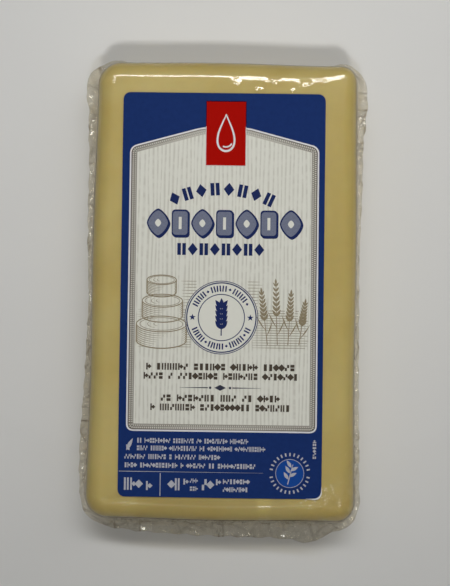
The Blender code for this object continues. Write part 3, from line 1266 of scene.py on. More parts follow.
class FlatShapes:
    """Flat shapes of one ink, gathered in millimetres from the label's middle."""

    def __init__(self) -> None:
        """Starts with no shapes."""
        self.points: list[np.ndarray] = []
        self.faces: list[np.ndarray] = []
        self.count = 0

    def add(self, points: np.ndarray, faces: np.ndarray) -> None:
        """Adds faces, turned anticlockwise where they aren't.

        Args:
            points: N by 2 array.
            faces: M by 3 or M by 4 array of point numbers.
        """
        x, y = points[faces][..., 0], points[faces][..., 1]
        area = (x * np.roll(y, -1, axis=1) - np.roll(x, -1, axis=1) * y).sum(axis=1)
        kept = np.abs(area) > 1e-7
        turned = np.where((area < 0)[:, None], faces[:, ::-1], faces)[kept]
        self.points.append(points)
        self.faces.append(turned + self.count)
        self.count += len(points)

    def strip(self, left: np.ndarray, right: np.ndarray, rows: int = 1) -> None:
        """Adds the band between two paths, as a grid with straight lines from one to the other.

        Args:
            left: N by 2 array.
            right: N by 2 array.
            rows: Number of faces across the band.
        """
        share = np.linspace(0, 1, rows + 1)[:, None, None]
        grid = left[None] + share * (right - left)[None]
        index = np.arange(grid.shape[0] * grid.shape[1]).reshape(grid.shape[:2])
        quads = np.stack((index[:-1, :-1], index[:-1, 1:], index[1:, 1:], index[1:, :-1]), axis=-1)
        self.add(grid.reshape(-1, 2), quads.reshape(-1, 4))

    def ribbon(self, path: np.ndarray, width: float | Sequence[float], step: float = 1.2) -> None:
        """Adds a line with a width, offset by half the width along the path's normals.

        Args:
            path: N by 2 array. A closed path repeats its first point.
            width: The width, or one for each point, which is spread evenly.
            step: Greatest distance between points.
        """
        line = resampled(path, step)
        closed = bool(np.allclose(line[0], line[-1]))
        ahead = np.gradient(line, axis=0)
        if closed:
            ahead[0] = ahead[-1] = line[1] - line[-2]
        ahead = ahead / np.maximum(np.linalg.norm(ahead, axis=1, keepdims=True), 1e-9)
        given = np.atleast_1d(np.asarray(width, float))
        widths = np.interp(np.linspace(0, 1, len(line)), np.linspace(0, 1, len(given)), given) / 2
        side = np.stack((-ahead[:, 1], ahead[:, 0]), axis=-1) * widths[:, None]
        self.strip(line + side, line - side)

    def fan(self, outline: np.ndarray) -> None:
        """Adds a filled shape as triangles from its middle.

        Args:
            outline: N by 2 array, not repeating its first point.
        """
        points = np.concatenate((outline, outline.mean(axis=0, keepdims=True)))
        index = np.arange(len(outline))
        middle = np.full(len(outline), len(outline))
        self.add(points, np.stack((index, np.roll(index, -1), middle), axis=-1))

    def boxes(self, boxes: np.ndarray) -> None:
        """Adds rectangles.

        Args:
            boxes: N by 5 array of middle x, middle y, width, height and turn in degrees.
        """
        unit = np.array(((-0.5, -0.5), (0.5, -0.5), (0.5, 0.5), (-0.5, 0.5)))
        boxes = np.atleast_2d(boxes)
        turn = np.radians(boxes[:, 4:5])
        x = unit[None, :, 0] * boxes[:, 2:3]
        y = unit[None, :, 1] * boxes[:, 3:4]
        points = np.stack(
            (
                boxes[:, 0:1] + x * np.cos(turn) - y * np.sin(turn),
                boxes[:, 1:2] + x * np.sin(turn) + y * np.cos(turn),
            ),
            axis=-1,
        )
        self.add(points.reshape(-1, 2), np.arange(len(boxes) * 4).reshape(-1, 4))

    def disc(self, centre: tuple[float, float], radius: float, count: int = 40) -> None:
        """Adds a disc of a ring of quads and a small fan, which follows a curved label better.

        Args:
            centre: Its middle.
            radius: Its radius.
            count: Number of points round it.
        """
        outer = arc(centre, radius, 0, 360, count + 1)
        inner = arc(centre, radius * 0.45, 0, 360, count + 1)
        self.strip(outer, inner, 3)
        self.fan(inner[:-1])

    def star(self, centre: tuple[float, float], radius: float) -> None:
        """Adds a five-pointed star with its inner points at about four tenths of the radius.

        Args:
            centre: Its middle.
            radius: How far its points are from there.
        """
        angles = np.radians(90 + np.arange(10) * 36)
        radii = np.where(np.arange(10) % 2 == 0, radius, radius * 0.42)[:, None]
        self.fan(np.array(centre) + radii * np.stack((np.cos(angles), np.sin(angles)), axis=-1))

    def leaf(self, start: tuple[float, float], angle: float, length: float, width: float) -> None:
        """Adds a pointed leaf, its half width a sine of the distance along it.

        Args:
            start: Where it grows from.
            angle: Its direction, in degrees.
            length: Its length.
            width: Its greatest width.
        """
        t = np.linspace(0, 1, 9)
        half = width / 2 * np.sin(pi * t**0.85)
        direction = np.array((cos(radians(angle)), sin(radians(angle))))
        side = np.array((-direction[1], direction[0]))
        middle = np.array(start) + length * t[:, None] * direction
        self.strip(middle + half[:, None] * side, middle - half[:, None] * side)


# Abstract glyphs, as rectangles in a cell of one by one: middle x and y, width, height, turn
GLYPHS = (
    ((0.50, 0.50, 0.62, 1.00, 0),),
    ((0.20, 0.50, 0.34, 1.00, 0), (0.76, 0.50, 0.34, 1.00, 0)),
    ((0.50, 0.50, 0.78, 0.78, 45),),
    ((0.50, 0.77, 0.84, 0.42, 0), (0.50, 0.23, 0.84, 0.42, 0)),
    ((0.20, 0.50, 0.32, 1.00, 0), (0.72, 0.50, 0.46, 0.46, 45)),
    ((0.26, 0.27, 0.44, 0.46, 0), (0.74, 0.73, 0.44, 0.46, 0)),
)


@dataclass(frozen=True)
class Row:
    """A row of small abstract glyphs in groups, along the label or, if not upright, up its side."""

    left: float
    right: float
    middle: float
    height: float
    groups: tuple[int, ...]
    seed: int
    upright: bool = True

    def boxes(self) -> np.ndarray:
        """The row's rectangles.

        The cells share the row's length evenly, with a gap of nine tenths of a cell between groups.

        Returns:
            N by 5 array for FlatShapes.boxes.
        """
        rng = np.random.default_rng(self.seed)
        gap = 0.9
        cell = (self.right - self.left) / (sum(self.groups) + gap * (len(self.groups) - 1))
        made, x = [], self.left
        for count in self.groups:
            for kind in rng.integers(0, len(GLYPHS), count):
                for across, up, width, height, turn in GLYPHS[kind]:
                    y = self.middle + (up - 0.5) * self.height
                    tall = min(self.height, cell / 0.8) if turn else self.height
                    wide = tall if turn else cell * 0.88
                    middle = x + (0.07 + 0.86 * across) * cell
                    made.append((middle, y, width * wide, height * tall, turn))
                x += cell
            x += gap * cell
        boxes = np.array(made)
        return boxes if self.upright else boxes[:, [1, 0, 3, 2, 4]]


@dataclass(frozen=True)
class Wheel:
    """A drawn wheel of cheese: its middle, half axes of its faces, and height of its wall."""

    centre: tuple[float, float]
    wide: float
    flat: float
    tall: float

    def ground(self, paper: FlatShapes) -> None:
        """Adds its plain ground: half an ellipse above, a wall, and half an ellipse below.

        Args:
            paper: Where it goes.
        """
        t = np.linspace(0, 2 * pi, 41)[:-1]
        x = self.centre[0] + self.wide * np.cos(t)
        wall = np.where(np.sin(t) >= 0, self.tall / 2, -self.tall / 2)
        paper.fan(np.stack((x, self.centre[1] + self.flat * np.sin(t) + wall), axis=-1))

    def draw(self, lines: FlatShapes) -> None:
        """Adds its outline, rind lines and engraved shading.

        Args:
            lines: Where they go.
        """
        x, y = self.centre
        size = (self.wide, self.flat)
        upper, lower = y + self.tall / 2, y - self.tall / 2
        lines.ribbon(arc((x, upper), size, 0, 360, 49), 0.28)
        lines.ribbon(arc((x, upper), (0.86 * self.wide, 0.80 * self.flat), 0, 360, 49), 0.16)
        lines.ribbon(arc((x, lower), size, 180, 360, 25), 0.32)
        for side in (x - self.wide, x + self.wide):
            lines.ribbon(np.array(((side, lower), (side, upper))), 0.28)
        for share in np.linspace(0.12, 0.88, 7):
            level = (x, upper - share * self.tall)
            for start, end in ((1.03, 1.60 - 0.25 * share), (1.97, 1.80 + 0.05 * share)):
                lines.ribbon(arc(level, size, 180 * start, 180 * end, 15), (0.24, 0.16, 0.05))
        for share in (0.55, 0.30):
            inner = (share * self.wide, share * self.flat)
            lines.ribbon(arc((x, upper), inner, 135, 243, 12), (0.05, 0.18, 0.05))


@dataclass(frozen=True)
class Ear:
    """A drawn ear of corn: the foot of its stalk, its lean to the right in degrees, and its top."""

    x: float
    lean: float
    top: float
    y: float = -14.5

    def ground(self, paper: FlatShapes) -> None:
        """Adds its plain ground, a leaf over the upper half of its stalk.

        Args:
            paper: Where it goes.
        """
        angle = 90 - self.lean
        rise = self.top - self.y
        start = (self.x + 0.48 * rise * cos(radians(angle)), self.y + 0.48 * rise)
        paper.leaf(start, angle, 0.52 * rise * 1.05, 3.3)

    def draw(self, lines: FlatShapes) -> None:
        """Adds its stalk, two blades, and pairs of grains that shrink towards the tip.

        Args:
            lines: Where they go.
        """
        angle = 90 - self.lean
        direction = np.array((cos(radians(angle)), sin(radians(angle))))
        aside = np.array((direction[1], -direction[0]))
        foot = np.array((self.x, self.y))
        length = self.top - self.y
        lines.ribbon(foot + np.linspace(0, 1, 12)[:, None] * length * direction, (0.26, 0.16))
        for share in np.linspace(0.46, 0.94, 7):
            size = 2.5 * (1.25 - share * 0.7)
            for side in (-1, 1):
                base = tuple(foot + share * length * direction)
                lines.leaf(base, angle + side * 32, size, size * 0.34)
        lines.leaf(tuple(foot + 0.97 * length * direction), angle, 1.9, 0.6)
        t = np.linspace(0, 1, 10)[:, None]
        for share, side in ((0.16, 1), (0.28, -1)):
            base = foot + share * length * direction
            blade = base + t * 4.6 * direction + side * (t**0.8) * 2.4 * aside
            lines.ribbon(blade, (0.10, 0.42, 0.05))


@dataclass
class Label:
    """The printed label: a paper sheet on top of the film, and inks in thin layers on it."""

    form: BlockForm
    half_width: float = 29.7
    half_length: float = 59.2
    corner: float = 2.1
    centre: tuple[float, float] = (-0.45, -1.3)
    turn: float = radians(0.37)
    top: float = 0.26
    paper: float = 0.16
    ink: float = 0.012
    layer: float = 0.018
    curl: float = 0.55
    curl_size: float = 3.2
    panel: tuple[tuple[float, float], ...] = (
        (-27.5, -40.05),
        (28.1, -40.05),
        (27.95, 43.6),
        (7.0, 49.1),
        (-6.2, 49.1),
        (-27.55, 43.2),
    )
    tab: tuple[float, float, float, float] = (-5.3, 6.4, 37.8, 56.75)
    panel_radius: float = 2.2
    seal: tuple[float, float] = (-0.1, -6.7)
    badge: tuple[float, float] = (20.4, -51.8)
    wheels: tuple[Wheel, ...] = (
        Wheel((-17.6, -11.2), 7.3, 2.3, 4.8),
        Wheel((-17.4, -4.2), 5.9, 1.9, 4.4),
        Wheel((-17.7, 2.3), 4.3, 1.4, 3.6),
    )
    ears: tuple[Ear, ...] = (
        Ear(13.4, -7, 1.0),
        Ear(16.3, -2, 3.6),
        Ear(19.4, 3, 0.4),
        Ear(22.6, 8, -2.2),
    )

    def lift(self, flat: np.ndarray, height: float) -> np.ndarray:
        """Lays flat work on the block's top.

        The label turns a little, sits off the middle, and follows the block's distortion. Its
        right foot corner curls up by the square of the distance past a diagonal line.

        Args:
            flat: N by 2 array, from the label's middle.
            height: Height above the cheese's top.

        Returns:
            N by 3 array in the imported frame.
        """
        x, y = flat[:, 0], flat[:, 1]
        past = (x - self.half_width - y - self.half_length) / 2**0.5 + self.curl_size
        rise = self.curl * (np.maximum(past, 0) / self.curl_size) ** 2
        placed = np.stack(
            (
                self.centre[0] + x * cos(self.turn) - y * sin(self.turn),
                self.centre[1] + x * sin(self.turn) + y * cos(self.turn),
                self.form.thickness + height + rise,
            ),
            axis=-1,
        )
        return self.form.settle(placed, sway=0.0)

    def print_ink(self, name: str, shapes: FlatShapes, level: Level, finish: InkFinish) -> Object:
        """Lays an ink's shapes on the sheet and gives them their thickness.

        Args:
            name: Name of the piece.
            shapes: The shapes.
            level: Which layer they form.
            finish: The ink.

        Returns:
            The object.
        """
        return self.lay(name, shapes, self.top + self.layer * level.value, self.ink, finish)

    def lay(self, name: str, shapes: FlatShapes, height: float, thickness: float,
            finish: InkFinish) -> Object:
        """Lays shapes on the block's top and gives them their thickness, downwards.

        Args:
            name: Name of the piece.
            shapes: The shapes.
            height: How high their upper side is above the cheese's top.
            thickness: Their thickness.
            finish: Their ink.

        Returns:
            The object.
        """
        flat = np.concatenate(shapes.points)
        piece = write_mesh(name, self.lift(flat, height), shapes.faces, smooth=False)
        solid = piece.modifiers.new("thickness", "SOLIDIFY")
        solid.thickness = thickness * MM
        solid.offset = -1.0
        deliver(piece, finish.build(), "label")
        return piece

    def sheet(self) -> Object:
        """The paper sheet, printed dark blue: rows between its long sides, with rounded corners.

        Returns:
            The object.
        """
        w, h, r = self.half_width, self.half_length, self.corner
        turn = np.linspace(-pi / 2, 0, 9)
        low_y, low_x = -h + r * (1 + np.sin(turn)), w - r + r * np.cos(turn)
        straight = np.linspace(-h + r, h - r, 90)[1:-1]
        y = np.concatenate((low_y, straight, -low_y[::-1]))
        x = np.concatenate((low_x, np.full(len(straight), w), low_x[::-1]))
        shapes = FlatShapes()
        shapes.strip(np.stack((-x, y), axis=-1), np.stack((x, y), axis=-1), 44)
        finish = InkFinish("ink_dark_blue", (0.0120, 0.035, 0.156), mottle=0.30)
        return self.lay("label_sheet", shapes, self.top, self.paper, finish)

    def curled_corner(self) -> None:
        """The white crescent along the curled corner: partly the paper's pale edge, partly a painted
        highlight where the curled edge catches light.
        """
        w, h, r = self.half_width, self.half_length, self.corner
        corner = arc((w - r, r - h), r - 0.05, -90, 0, 12)
        path = np.concatenate((((w - r - 2.6, 0.05 - h),), corner, ((w - 0.05, r - h + 1.6),)))
        crescent = FlatShapes()
        crescent.ribbon(path, (0.02, 0.34, 0.46, 0.40, 0.30, 0.02), step=0.5)
        # Painted highlight: the pale crescent stands partly for light caught by the curled edge.
        paper = InkFinish("paper_edge_highlight", (0.84, 0.84, 0.82), mottle=0.05, specular=0.2)
        self.print_ink("label_curl", crescent, Level.ACCENT, paper)

    def field_and_frame(self) -> None:
        """The pale field, its white edge, and the dotted band just inside it."""
        fields = FlatShapes()
        left, right, corner = -27.3, 27.85, 1.6
        x = np.linspace(left, right, 48)
        away = np.maximum(corner - np.minimum(x - left, right - x), 0)
        drop = corner - np.sqrt(np.maximum(corner**2 - away**2, 0))
        roof = np.interp(x, (-27.5, -6.2, 7.0, 27.95), (43.1, 49.0, 49.0, 43.5)) - drop
        floor = -39.9 + drop
        fields.strip(np.stack((x, floor), axis=-1), np.stack((x, roof), axis=-1), 64)
        grain = GrainFinish("ink_cream", (0.80, 0.80, 0.722), mottle=0.05, turn=self.turn)
        self.print_ink("label_field", fields, Level.FIELD, grain)

        rows = 4
        band = self.panel_strip(0.42, 2.15, 1.1, rows)
        flat = np.concatenate(band.points)
        half_panel, long_sides = 27.8, 38.5
        ends = np.abs(flat[:, 0]) / half_panel
        edge = np.where(np.abs(flat[:, 1]) > long_sides, 1 - ends**1.5, 0.16)
        depth = np.repeat(np.linspace(0, 1, rows + 1), len(flat) // (rows + 1))
        fade = np.clip(0.25 * edge + 0.42 * depth**2 + 0.55 * edge * (depth + 0.2), 0, 1)
        taupe = FadeFinish("ink_taupe", (0.125, 0.108, 0.085), light=(0.56, 0.54, 0.48), mottle=0.12)
        piece = self.print_ink("label_band", band, Level.BAND, taupe)
        add_attribute(piece, "fade", fade)

        dots = FlatShapes()
        pitch = 0.60
        for inset, size in ((1.02, 0.36), (1.68, 0.30)):
            path = rounded(np.array(self.panel), self.panel_radius, inset)
            run = travelled(path)
            at = np.arange(0.29, run[-1], pitch)
            middle = points_at(path, run, at)
            ahead = points_at(path, run, at + 0.05) - middle
            turn = np.degrees(np.arctan2(ahead[:, 1], ahead[:, 0]))
            sizes = np.full((len(at), 2), size)
            dots.boxes(np.column_stack((middle, sizes * (1.0, 1.35), turn)))
        pale = InkFinish("ink_pale_dots", (0.66, 0.64, 0.58), mottle=0.10)
        self.print_ink("label_dots", dots, Level.EDGE, pale)

        white = InkFinish("ink_white", (0.80, 0.80, 0.82), mottle=0.05)
        self.print_ink("label_edge", self.panel_strip(0.0, 0.46, 1.2), Level.EDGE, white)

    def panel_strip(self, start: float, end: float, step: float, rows: int = 1) -> FlatShapes:
        """The band between two insets of the panel, cut finely enough to follow the label.

        Args:
            start: Outer inset.
            end: Inner inset.
            step: Greatest distance between points along the band.
            rows: Number of faces across it.

        Returns:
            The shapes.
        """
        corners = np.array(self.panel)
        outer, inner = (rounded(corners, self.panel_radius, inset) for inset in (start, end))
        run = travelled(outer)
        places = np.union1d(run, np.arange(0, run[-1], step))
        shapes = FlatShapes()
        shapes.strip(points_at(outer, run, places), points_at(inner, run, places), rows)
        return shapes

    def red_tab(self) -> None:
        """The red field at the head, with a plain white drop as its ornament."""
        left, right, low, high = self.tab
        red = FlatShapes()
        x = np.linspace(left, right, 9)
        foot, head = (np.stack((x, np.full(9, y)), axis=-1) for y in (low, high))
        red.strip(foot, head, 14)
        ink = InkFinish("ink_red", (0.435, 0.0035, 0.0010), mottle=0.10)
        self.print_ink("label_tab", red, Level.COVER, ink)
        change = 49.3
        edge = FlatShapes()
        edge.ribbon(np.array(((left, change), (left, low), (right, low), (right, change))), 0.16)
        ink = InkFinish("ink_pink", (0.72, 0.62, 0.62))
        self.print_ink("label_tab_edge", edge, Level.ACCENT, ink)
        dark = FlatShapes()
        dark.ribbon(np.array(((left, change), (left, high), (right, high), (right, change))), 0.22)
        ink = InkFinish("ink_maroon", (0.030, 0.004, 0.022))
        self.print_ink("label_tab_line", dark, Level.ACCENT, ink)
        drop = FlatShapes()
        middle = (left + right) / 2
        t = np.linspace(0, 2 * pi, 61)
        x = middle + 3.5 * np.sin(t) * np.sin(t / 2) ** 1.4
        drop.ribbon(np.stack((x, 47.5 + 5.4 * np.cos(t)), axis=-1), (0.30, 0.55, 0.62, 0.55, 0.30))
        drop.ribbon(arc((middle, 45.2), 1.9, 243, 333, 20), 0.42)
        ink = InkFinish("ink_drop_white", (0.80, 0.78, 0.78))
        self.print_ink("label_tab_drop", drop, Level.ACCENT, ink)

    def build(self) -> None:
        """Builds the sheet and all its inks."""
        self.sheet()
        self.curled_corner()
        self.field_and_frame()
        self.red_tab()
        self.ornament_rows()
        self.line_art()
        self.seal_print()
        self.small_rows()
        self.foot_zone()

    def ornament_rows(self) -> None:
        """The arched row, the large frieze and the straight row of ornaments."""
        navy = FlatShapes()
        arch, arch_top = 34.0, (-0.4, 30.9)
        for number, angle in enumerate(np.linspace(-24.0, 24.0, 8)):
            x = arch_top[0] + arch * sin(radians(angle))
            y = arch_top[1] - arch * (1 - cos(radians(angle)))
            self.ornament(navy, (x, y), 3.1, 3.9, -angle, number)
        for number, x in enumerate(np.linspace(-12.0, 10.7, 8)):
            self.ornament(navy, (x, 13.2), 2.9, 3.7, 0.0, number + 1)
        blue, shade, cuts = FlatShapes(), FlatShapes(), FlatShapes()
        y, cast = 20.8, 0.34
        for number, x in enumerate(np.linspace(-19.0, 19.9, 7)):
            lozenge = number % 2 == 0
            outline = self.frieze_shape(lozenge)
            shade.fan(outline * 1.10 + (x + cast, y - cast))
            shade.fan(outline * 1.10 + (x, y))
            blue.fan(outline * 0.96 + (x, y))
            if lozenge:
                cuts.fan(outline * 0.30 + (x, y))
            else:
                cuts.boxes(np.array(((x, y, 0.85, 3.6, 0),)))
        ink = InkFinish("ink_navy", (0.016, 0.028, 0.115), mottle=0.20)
        self.print_ink("label_ornaments", navy, Level.ORNAMENT, ink)
        self.print_ink("label_frieze_shade", shade, Level.SHADOW, ink)
        slate = InkFinish("ink_slate", (0.185, 0.205, 0.285), mottle=0.5, mottle_scale=2400.0)
        self.print_ink("label_frieze", blue, Level.ORNAMENT, slate)
        cream = InkFinish("ink_cream_cut", (0.80, 0.80, 0.73))
        self.print_ink("label_frieze_cuts", cuts, Level.ACCENT, cream)

    def frieze_shape(self, lozenge: bool) -> np.ndarray:
        """One large ornament's outline, a lozenge with slightly hollow sides or a rounded slab.

        Args:
            lozenge: True for the lozenge.

        Returns:
            N by 2 array.
        """
        if lozenge:
            t = np.linspace(0, 2 * pi, 33)[:-1]
            x = 3.0 * np.sign(np.cos(t)) * np.abs(np.cos(t)) ** 1.35
            return np.stack((x, 3.8 * np.sign(np.sin(t)) * np.abs(np.sin(t)) ** 1.35), axis=-1)
        slab = np.array(((-2.25, -3.6), (2.25, -3.6), (2.25, 3.6), (-2.25, 3.6)))
        return rounded(slab, 1.1)[:-1]

    def ornament(self, shapes: FlatShapes, place: tuple[float, float], width: float, height: float,
                 turn: float, kind: int) -> None:
        """Adds one navy ornament, a lozenge or a pair of slabs.

        Args:
            shapes: Where it goes.
            place: Its middle.
            width: Its width.
            height: Its height.
            turn: Its turn in degrees.
            kind: Even for a lozenge, odd for slabs.
        """
        angle = radians(turn)
        along = np.array((cos(angle), sin(angle)))
        up = np.array((-sin(angle), cos(angle)))
        if kind % 2 == 0:
            tips = np.array(((-0.5, 0), (0, -0.5), (0.5, 0), (0, 0.5))) * (width, height)
            shapes.fan(np.array(place) + tips[:, :1] * along + tips[:, 1:] * up)
            return
        made = []
        for shift in (-0.25, 0.25):
            x, y = np.array(place) + shift * width * along
            made.append((x, y, 0.36 * width, 0.94 * height, turn))
        shapes.boxes(np.array(made))

    def line_art(self) -> None:
        """Fine brown line drawing: two wheels of cheese on the left, ears of corn on the right."""
        lines = FlatShapes()
        rng = np.random.default_rng(5)
        for y in np.arange(-15.4, -3.9, 0.72):
            shorter = 1.2 * rng.random(2)
            for left, right in ((-25.4 + shorter[0], -9.0), (9.0, 25.4 - shorter[1])):
                lines.ribbon(np.array(((left, y), (right, y))), (0.05, 0.17, 0.17, 0.12))
        for y in np.arange(-3.4, 4.6, 0.9):
            lines.ribbon(np.array(((-12.0 + rng.random(), y), (-7.5, y))), (0.05, 0.15, 0.12))
            lines.ribbon(np.array(((7.5, y), (12.0 - rng.random(), y))), (0.12, 0.15, 0.05))
        paper, drawn = FlatShapes(), FlatShapes()
        for picture in (*self.wheels, *self.ears):
            picture.ground(paper)
            picture.draw(drawn)
        brown = InkFinish("ink_fawn", (0.30, 0.25, 0.16), mottle=0.3, mottle_scale=1500.0)
        cream = GrainFinish("ink_cream_art", (0.80, 0.795, 0.71), mottle=0.05, turn=self.turn)
        self.print_ink("label_art_paper", paper, Level.LINE_ART, cream)
        self.print_ink("label_art_rules", lines, Level.EDGE, brown)
        self.print_ink("label_art", drawn, Level.COVER, brown)

    def seal_print(self) -> None:
        """The round seal: double rule, dashes round it, two stars and an ear of corn in the middle."""
        ground = FlatShapes()
        ground.disc(self.seal, 10.6, 64)
        cream = InkFinish("ink_cream_seal", (0.80, 0.80, 0.725), mottle=0.05)
        self.print_ink("label_seal_ground", ground, Level.COVER, cream)
        navy = FlatShapes()
        for radius, width in ((10.62, 0.20), (10.12, 0.34), (6.75, 0.26)):
            navy.ribbon(arc(self.seal, radius, 0, 360, 97), width)
        made = []
        dash_ring, square, dash = 8.45, (0.62, 0.62), (1.75, 0.42)
        for start, end, count in ((152, 28, 12), (206, 334, 13)):
            angles = np.linspace(start, end, count)
            for number, (x, y) in enumerate(arc(self.seal, dash_ring, start, end, count)):
                angle = angles[number]
                if number % 4 == 3:
                    made.append((x, y, *square, angle + 45))
                    continue
                turn = radians(angle) + pi / 2
                for shift in (-0.42, 0.42):
                    made.append((x + shift * cos(turn), y + shift * sin(turn), *dash, angle))
        navy.boxes(np.array(made))
        x, y = self.seal
        for sign in (-1, 1):
            navy.star((x + sign * dash_ring, y), 1.0)
        for share in np.linspace(-3.4, 2.6, 5):
            for side in (-1, 1):
                navy.leaf((x, y + share), 90 + side * 36, 3.1, 1.25)
        navy.leaf((x, y + 2.7), 90, 3.0, 1.3)
        navy.ribbon(np.array(((x, y - 5.3), (x, y + 3.0))), 0.34)
        ink = InkFinish("ink_seal_navy", (0.018, 0.030, 0.125), mottle=0.25, mottle_scale=2600.0)
        self.print_ink("label_seal", navy, Level.ORNAMENT, ink)

    def small_rows(self) -> None:
        """The brown rows below the seal, and the rule with a small curl between them."""
        rows = (
            Row(-22.0, 21.6, -21.15, 1.95, (1, 6, 6, 5, 6), 3),
            Row(-22.7, 22.5, -23.85, 1.95, (4, 1, 8, 7, 7), 4),
            Row(-17.6, 17.2, -30.25, 1.95, (2, 7, 3, 2, 4), 7),
            Row(-20.6, 20.3, -32.95, 1.95, (1, 7, 10, 7), 8),
        )
        brown = FlatShapes()
        for row in rows:
            brown.boxes(row.boxes())
        ink = InkFinish("ink_brown", (0.085, 0.068, 0.052), mottle=0.3, mottle_scale=2400.0)
        self.print_ink("label_small_rows", brown, Level.ORNAMENT, ink)
        rule = FlatShapes()
        x, y = -0.2, -27.2
        for sign in (-1, 1):
            rule.ribbon(np.array(((x + sign * 11.8, y), (x + sign * 3.6, y))), (0.05, 0.30))
            rule.fan(arc((x + sign * 2.9, y), 0.36, 0, 360, 13)[:-1])
        rule.fan(np.array(((x - 1.7, y), (x, y - 0.85), (x + 1.7, y), (x, y + 0.85))))
        ink = InkFinish("ink_charcoal", (0.045, 0.048, 0.075))
        self.print_ink("label_rule", rule, Level.ORNAMENT, ink)

    def foot_zone(self) -> None:
        """The pale rows, rules, mark and badge on the dark blue foot of the label."""
        pale = FlatShapes()
        rows = (
            Row(-24.3, 8.2, -42.75, 1.45, (2, 10, 8, 2, 9, 7), 11),
            Row(-24.3, 13.2, -44.95, 1.45, (4, 6, 10, 2, 9, 11), 12),
            Row(-27.9, 0.0, -47.45, 1.45, (7, 6, 1, 7, 7), 13),
            Row(-27.9, 10.4, -49.95, 1.45, (4, 12, 1, 6, 2, 12), 14),
            Row(-8.7, -6.3, -54.3, 1.3, (3,), 15),
            Row(-8.7, -6.3, -56.6, 1.3, (3,), 16),
            Row(0.9, 8.7, -54.4, 1.4, (8,), 17),
            Row(0.9, 8.3, -56.7, 1.4, (8,), 18),
        )
        large = (
            Row(-28.0, -22.6, -55.4, 3.6, (3,), 21),
            Row(-21.6, -19.7, -55.9, 2.6, (1,), 22),
            Row(-14.9, -11.4, -55.4, 3.5, (2,), 24),
            Row(-10.7, -8.9, -54.6, 1.7, (1,), 22),
            Row(-5.3, -1.8, -55.4, 3.5, (2,), 26),
            Row(-1.2, 0.5, -54.6, 1.7, (1,), 22),
        )
        upwards = Row(-44.8 - 2.8, -44.8 + 2.8, 27.5, 1.0, (6,), 31, upright=False)
        for row in (*rows, *large, upwards):
            pale.boxes(row.boxes())
        fade = np.linspace(0.16, 0.05, 4)
        pale.ribbon(np.array(((-29.4, -51.8), (12.7, -51.8))), fade)
        pale.ribbon(np.array(((-17.3, -52.2), (-17.3, -58.9))), 0.22)
        pale.leaf((-27.3, -45.7), 62, 4.0, 1.1)
        pale.leaf((-26.4, -45.7), 118, 2.0, 0.8)
        x, y = self.badge
        for start, end in ((168, 12), (192, 348)):
            middles = arc(self.badge, 5.5, start, end, 13)
            sizes = np.full((13, 2), (0.95, 0.42))
            pale.boxes(np.column_stack((middles, sizes, np.linspace(start, end, 13))))
        disc = FlatShapes()
        disc.disc(self.badge, 4.15, 48)
        ink = InkFinish("ink_bright_blue", (0.012, 0.070, 0.33))
        self.print_ink("label_badge", disc, Level.COVER, ink)
        pale.ribbon(arc(self.badge, 4.1, 0, 360, 61), 0.14)
        pale.ribbon(np.array(((x - 0.6, y - 3.2), (x + 0.2, y), (x + 0.9, y + 2.6))), (0.3, 0.2))
        for share, side in ((-1.7, 1), (-0.9, -1), (0.1, 1), (0.8, -1), (1.7, 1)):
            pale.leaf((x + 0.25 * share, y + share), 74 + side * 48, 2.5, 0.95)
        ink = InkFinish("ink_pale", (0.50, 0.51, 0.56), mottle=0.45, mottle_scale=2200.0)
        self.print_ink("label_pale_print", pale, Level.ORNAMENT, ink)


@dataclass(frozen=True)
class Lamp:
    """A rectangular lamp that faces a place on the table.

    Its direction is in degrees from straight above, towards the head and towards the right. Its
    distance, its width and depth, and the place that it faces are in metres, its power in watts,
    and the angle of its light in degrees. Where it isn't mirrored, glossy surfaces don't show it.
    """

    name: str
    direction: tuple[float, float]
    distance: float
    size: tuple[float, float]
    power: float
    mirrored: bool = True
    spread: float = 180.0
    aim: tuple[float, float] = (0.0, 0.0)

    def build(self, colour: Colour) -> None:
        """Adds the lamp to the scene.

        Args:
            colour: The colour of its light.
        """
        light = bpy.data.lights.new(self.name, "AREA")
        light.shape = "RECTANGLE"
        light.size, light.size_y = self.size
        light.energy = self.power
        light.color = colour
        light.spread = radians(self.spread)
        obj = bpy.data.objects.new(self.name, light)
        towards_head, towards_right = (tan(radians(angle)) for angle in self.direction)
        place = Vector((towards_right, towards_head, 1)).normalized() * self.distance
        back = place - Vector((*self.aim, 0))
        obj.matrix_world = back.to_track_quat("Z", "Y").to_matrix().to_4x4()
        obj.location = place
        obj.visible_camera = False
        obj.visible_glossy = self.mirrored
        bpy.context.scene.collection.objects.link(obj)


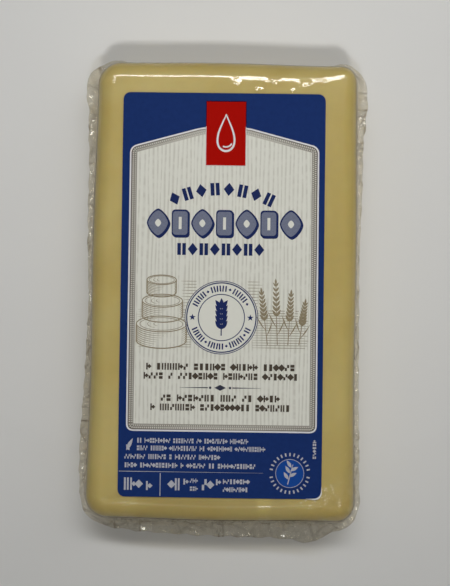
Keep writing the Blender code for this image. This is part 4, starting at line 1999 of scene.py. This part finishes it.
@dataclass
class Studio:
    """Camera, lights and table."""

    form: BlockForm
    aim: tuple[float, float, float] = (0.407, -0.806, 22.9)
    stand: tuple[float, float, float] = (2.344, -8.972, 349.265)
    roll: float = radians(1.138)
    view_angle: float = radians(29.4)
    film_size: float = 24.0
    world: float = 0.065
    white: Colour = (1.0, 0.992, 0.975)
    lamps: tuple[Lamp, ...] = (
        Lamp("head_strip", (27.45, 3.5), 1.25, (1.10, 0.11), 1.34, spread=80.0, aim=(0.0, -0.10)),
        Lamp("foot_lamp", (-27.0, 3.0), 1.567, (0.12, 0.12), 0.105, False, 20.0, (0.0, 0.165)),
        Lamp("foot_glint", (-25.0, 3.0), 1.5, (0.50, 0.07), 1.2),
        Lamp("near_fill", (24.0, 33.0), 0.55, (0.36, 0.36), 0.24, False),
    )

    def camera(self) -> Object:
        """The camera, nearly straight above, its long side along the block.

        Returns:
            The camera object.
        """
        offset = self.form.offset()
        place = Vector(np.array(self.stand) + offset) * MM
        target = Vector(np.array(self.aim) + offset) * MM
        back = (place - target).normalized()
        up = Vector((-sin(self.roll), cos(self.roll), 0))
        right = up.cross(back).normalized()
        up = back.cross(right)
        camera = bpy.data.cameras.new("camera")
        camera.sensor_width = self.film_size
        camera.lens = self.film_size / 2 / tan(self.view_angle / 2)
        camera.clip_start = 0.01
        camera.clip_end = 10.0
        obj = bpy.data.objects.new("camera", camera)
        obj.matrix_world = Matrix((right, up, back)).transposed().to_4x4()
        obj.location = place
        bpy.context.scene.collection.objects.link(obj)
        bpy.context.scene.camera = obj
        return obj

    def floor(self) -> Object:
        """The table top, a wide square just under the pack.

        Returns:
            The object.
        """
        half, z = 2000.0, -0.02
        corners = np.array(((-half, -half, z), (half, -half, z), (half, half, z), (-half, half, z)))
        floor = write_mesh("table", corners, [np.array(((0, 1, 2, 3),))], smooth=False)
        floor.data.materials.append(FloorFinish().build())
        return floor

    def build(self) -> None:
        """Sets up the studio."""
        self.camera()
        self.floor()
        for lamp in self.lamps:
            lamp.build(self.white)
        world = bpy.data.worlds.new("room")
        world.use_nodes = True
        background = world.node_tree.nodes["Background"]
        background.inputs["Color"].default_value = (0.97, 0.985, 1.0, 1)
        background.inputs["Strength"].default_value = self.world
        scene = bpy.context.scene
        scene.world = world
        scene.view_settings.view_transform = "Standard"


def main() -> None:
    """Builds the pack and its studio."""
    logging.basicConfig(level=logging.INFO, format="%(name)s: %(message)s")
    form = BlockForm()
    Studio(form).build()
    Cheese(form).build()
    FilmPouch(form).build()
    Label(form).build()


if __name__ == "__main__":
    main()
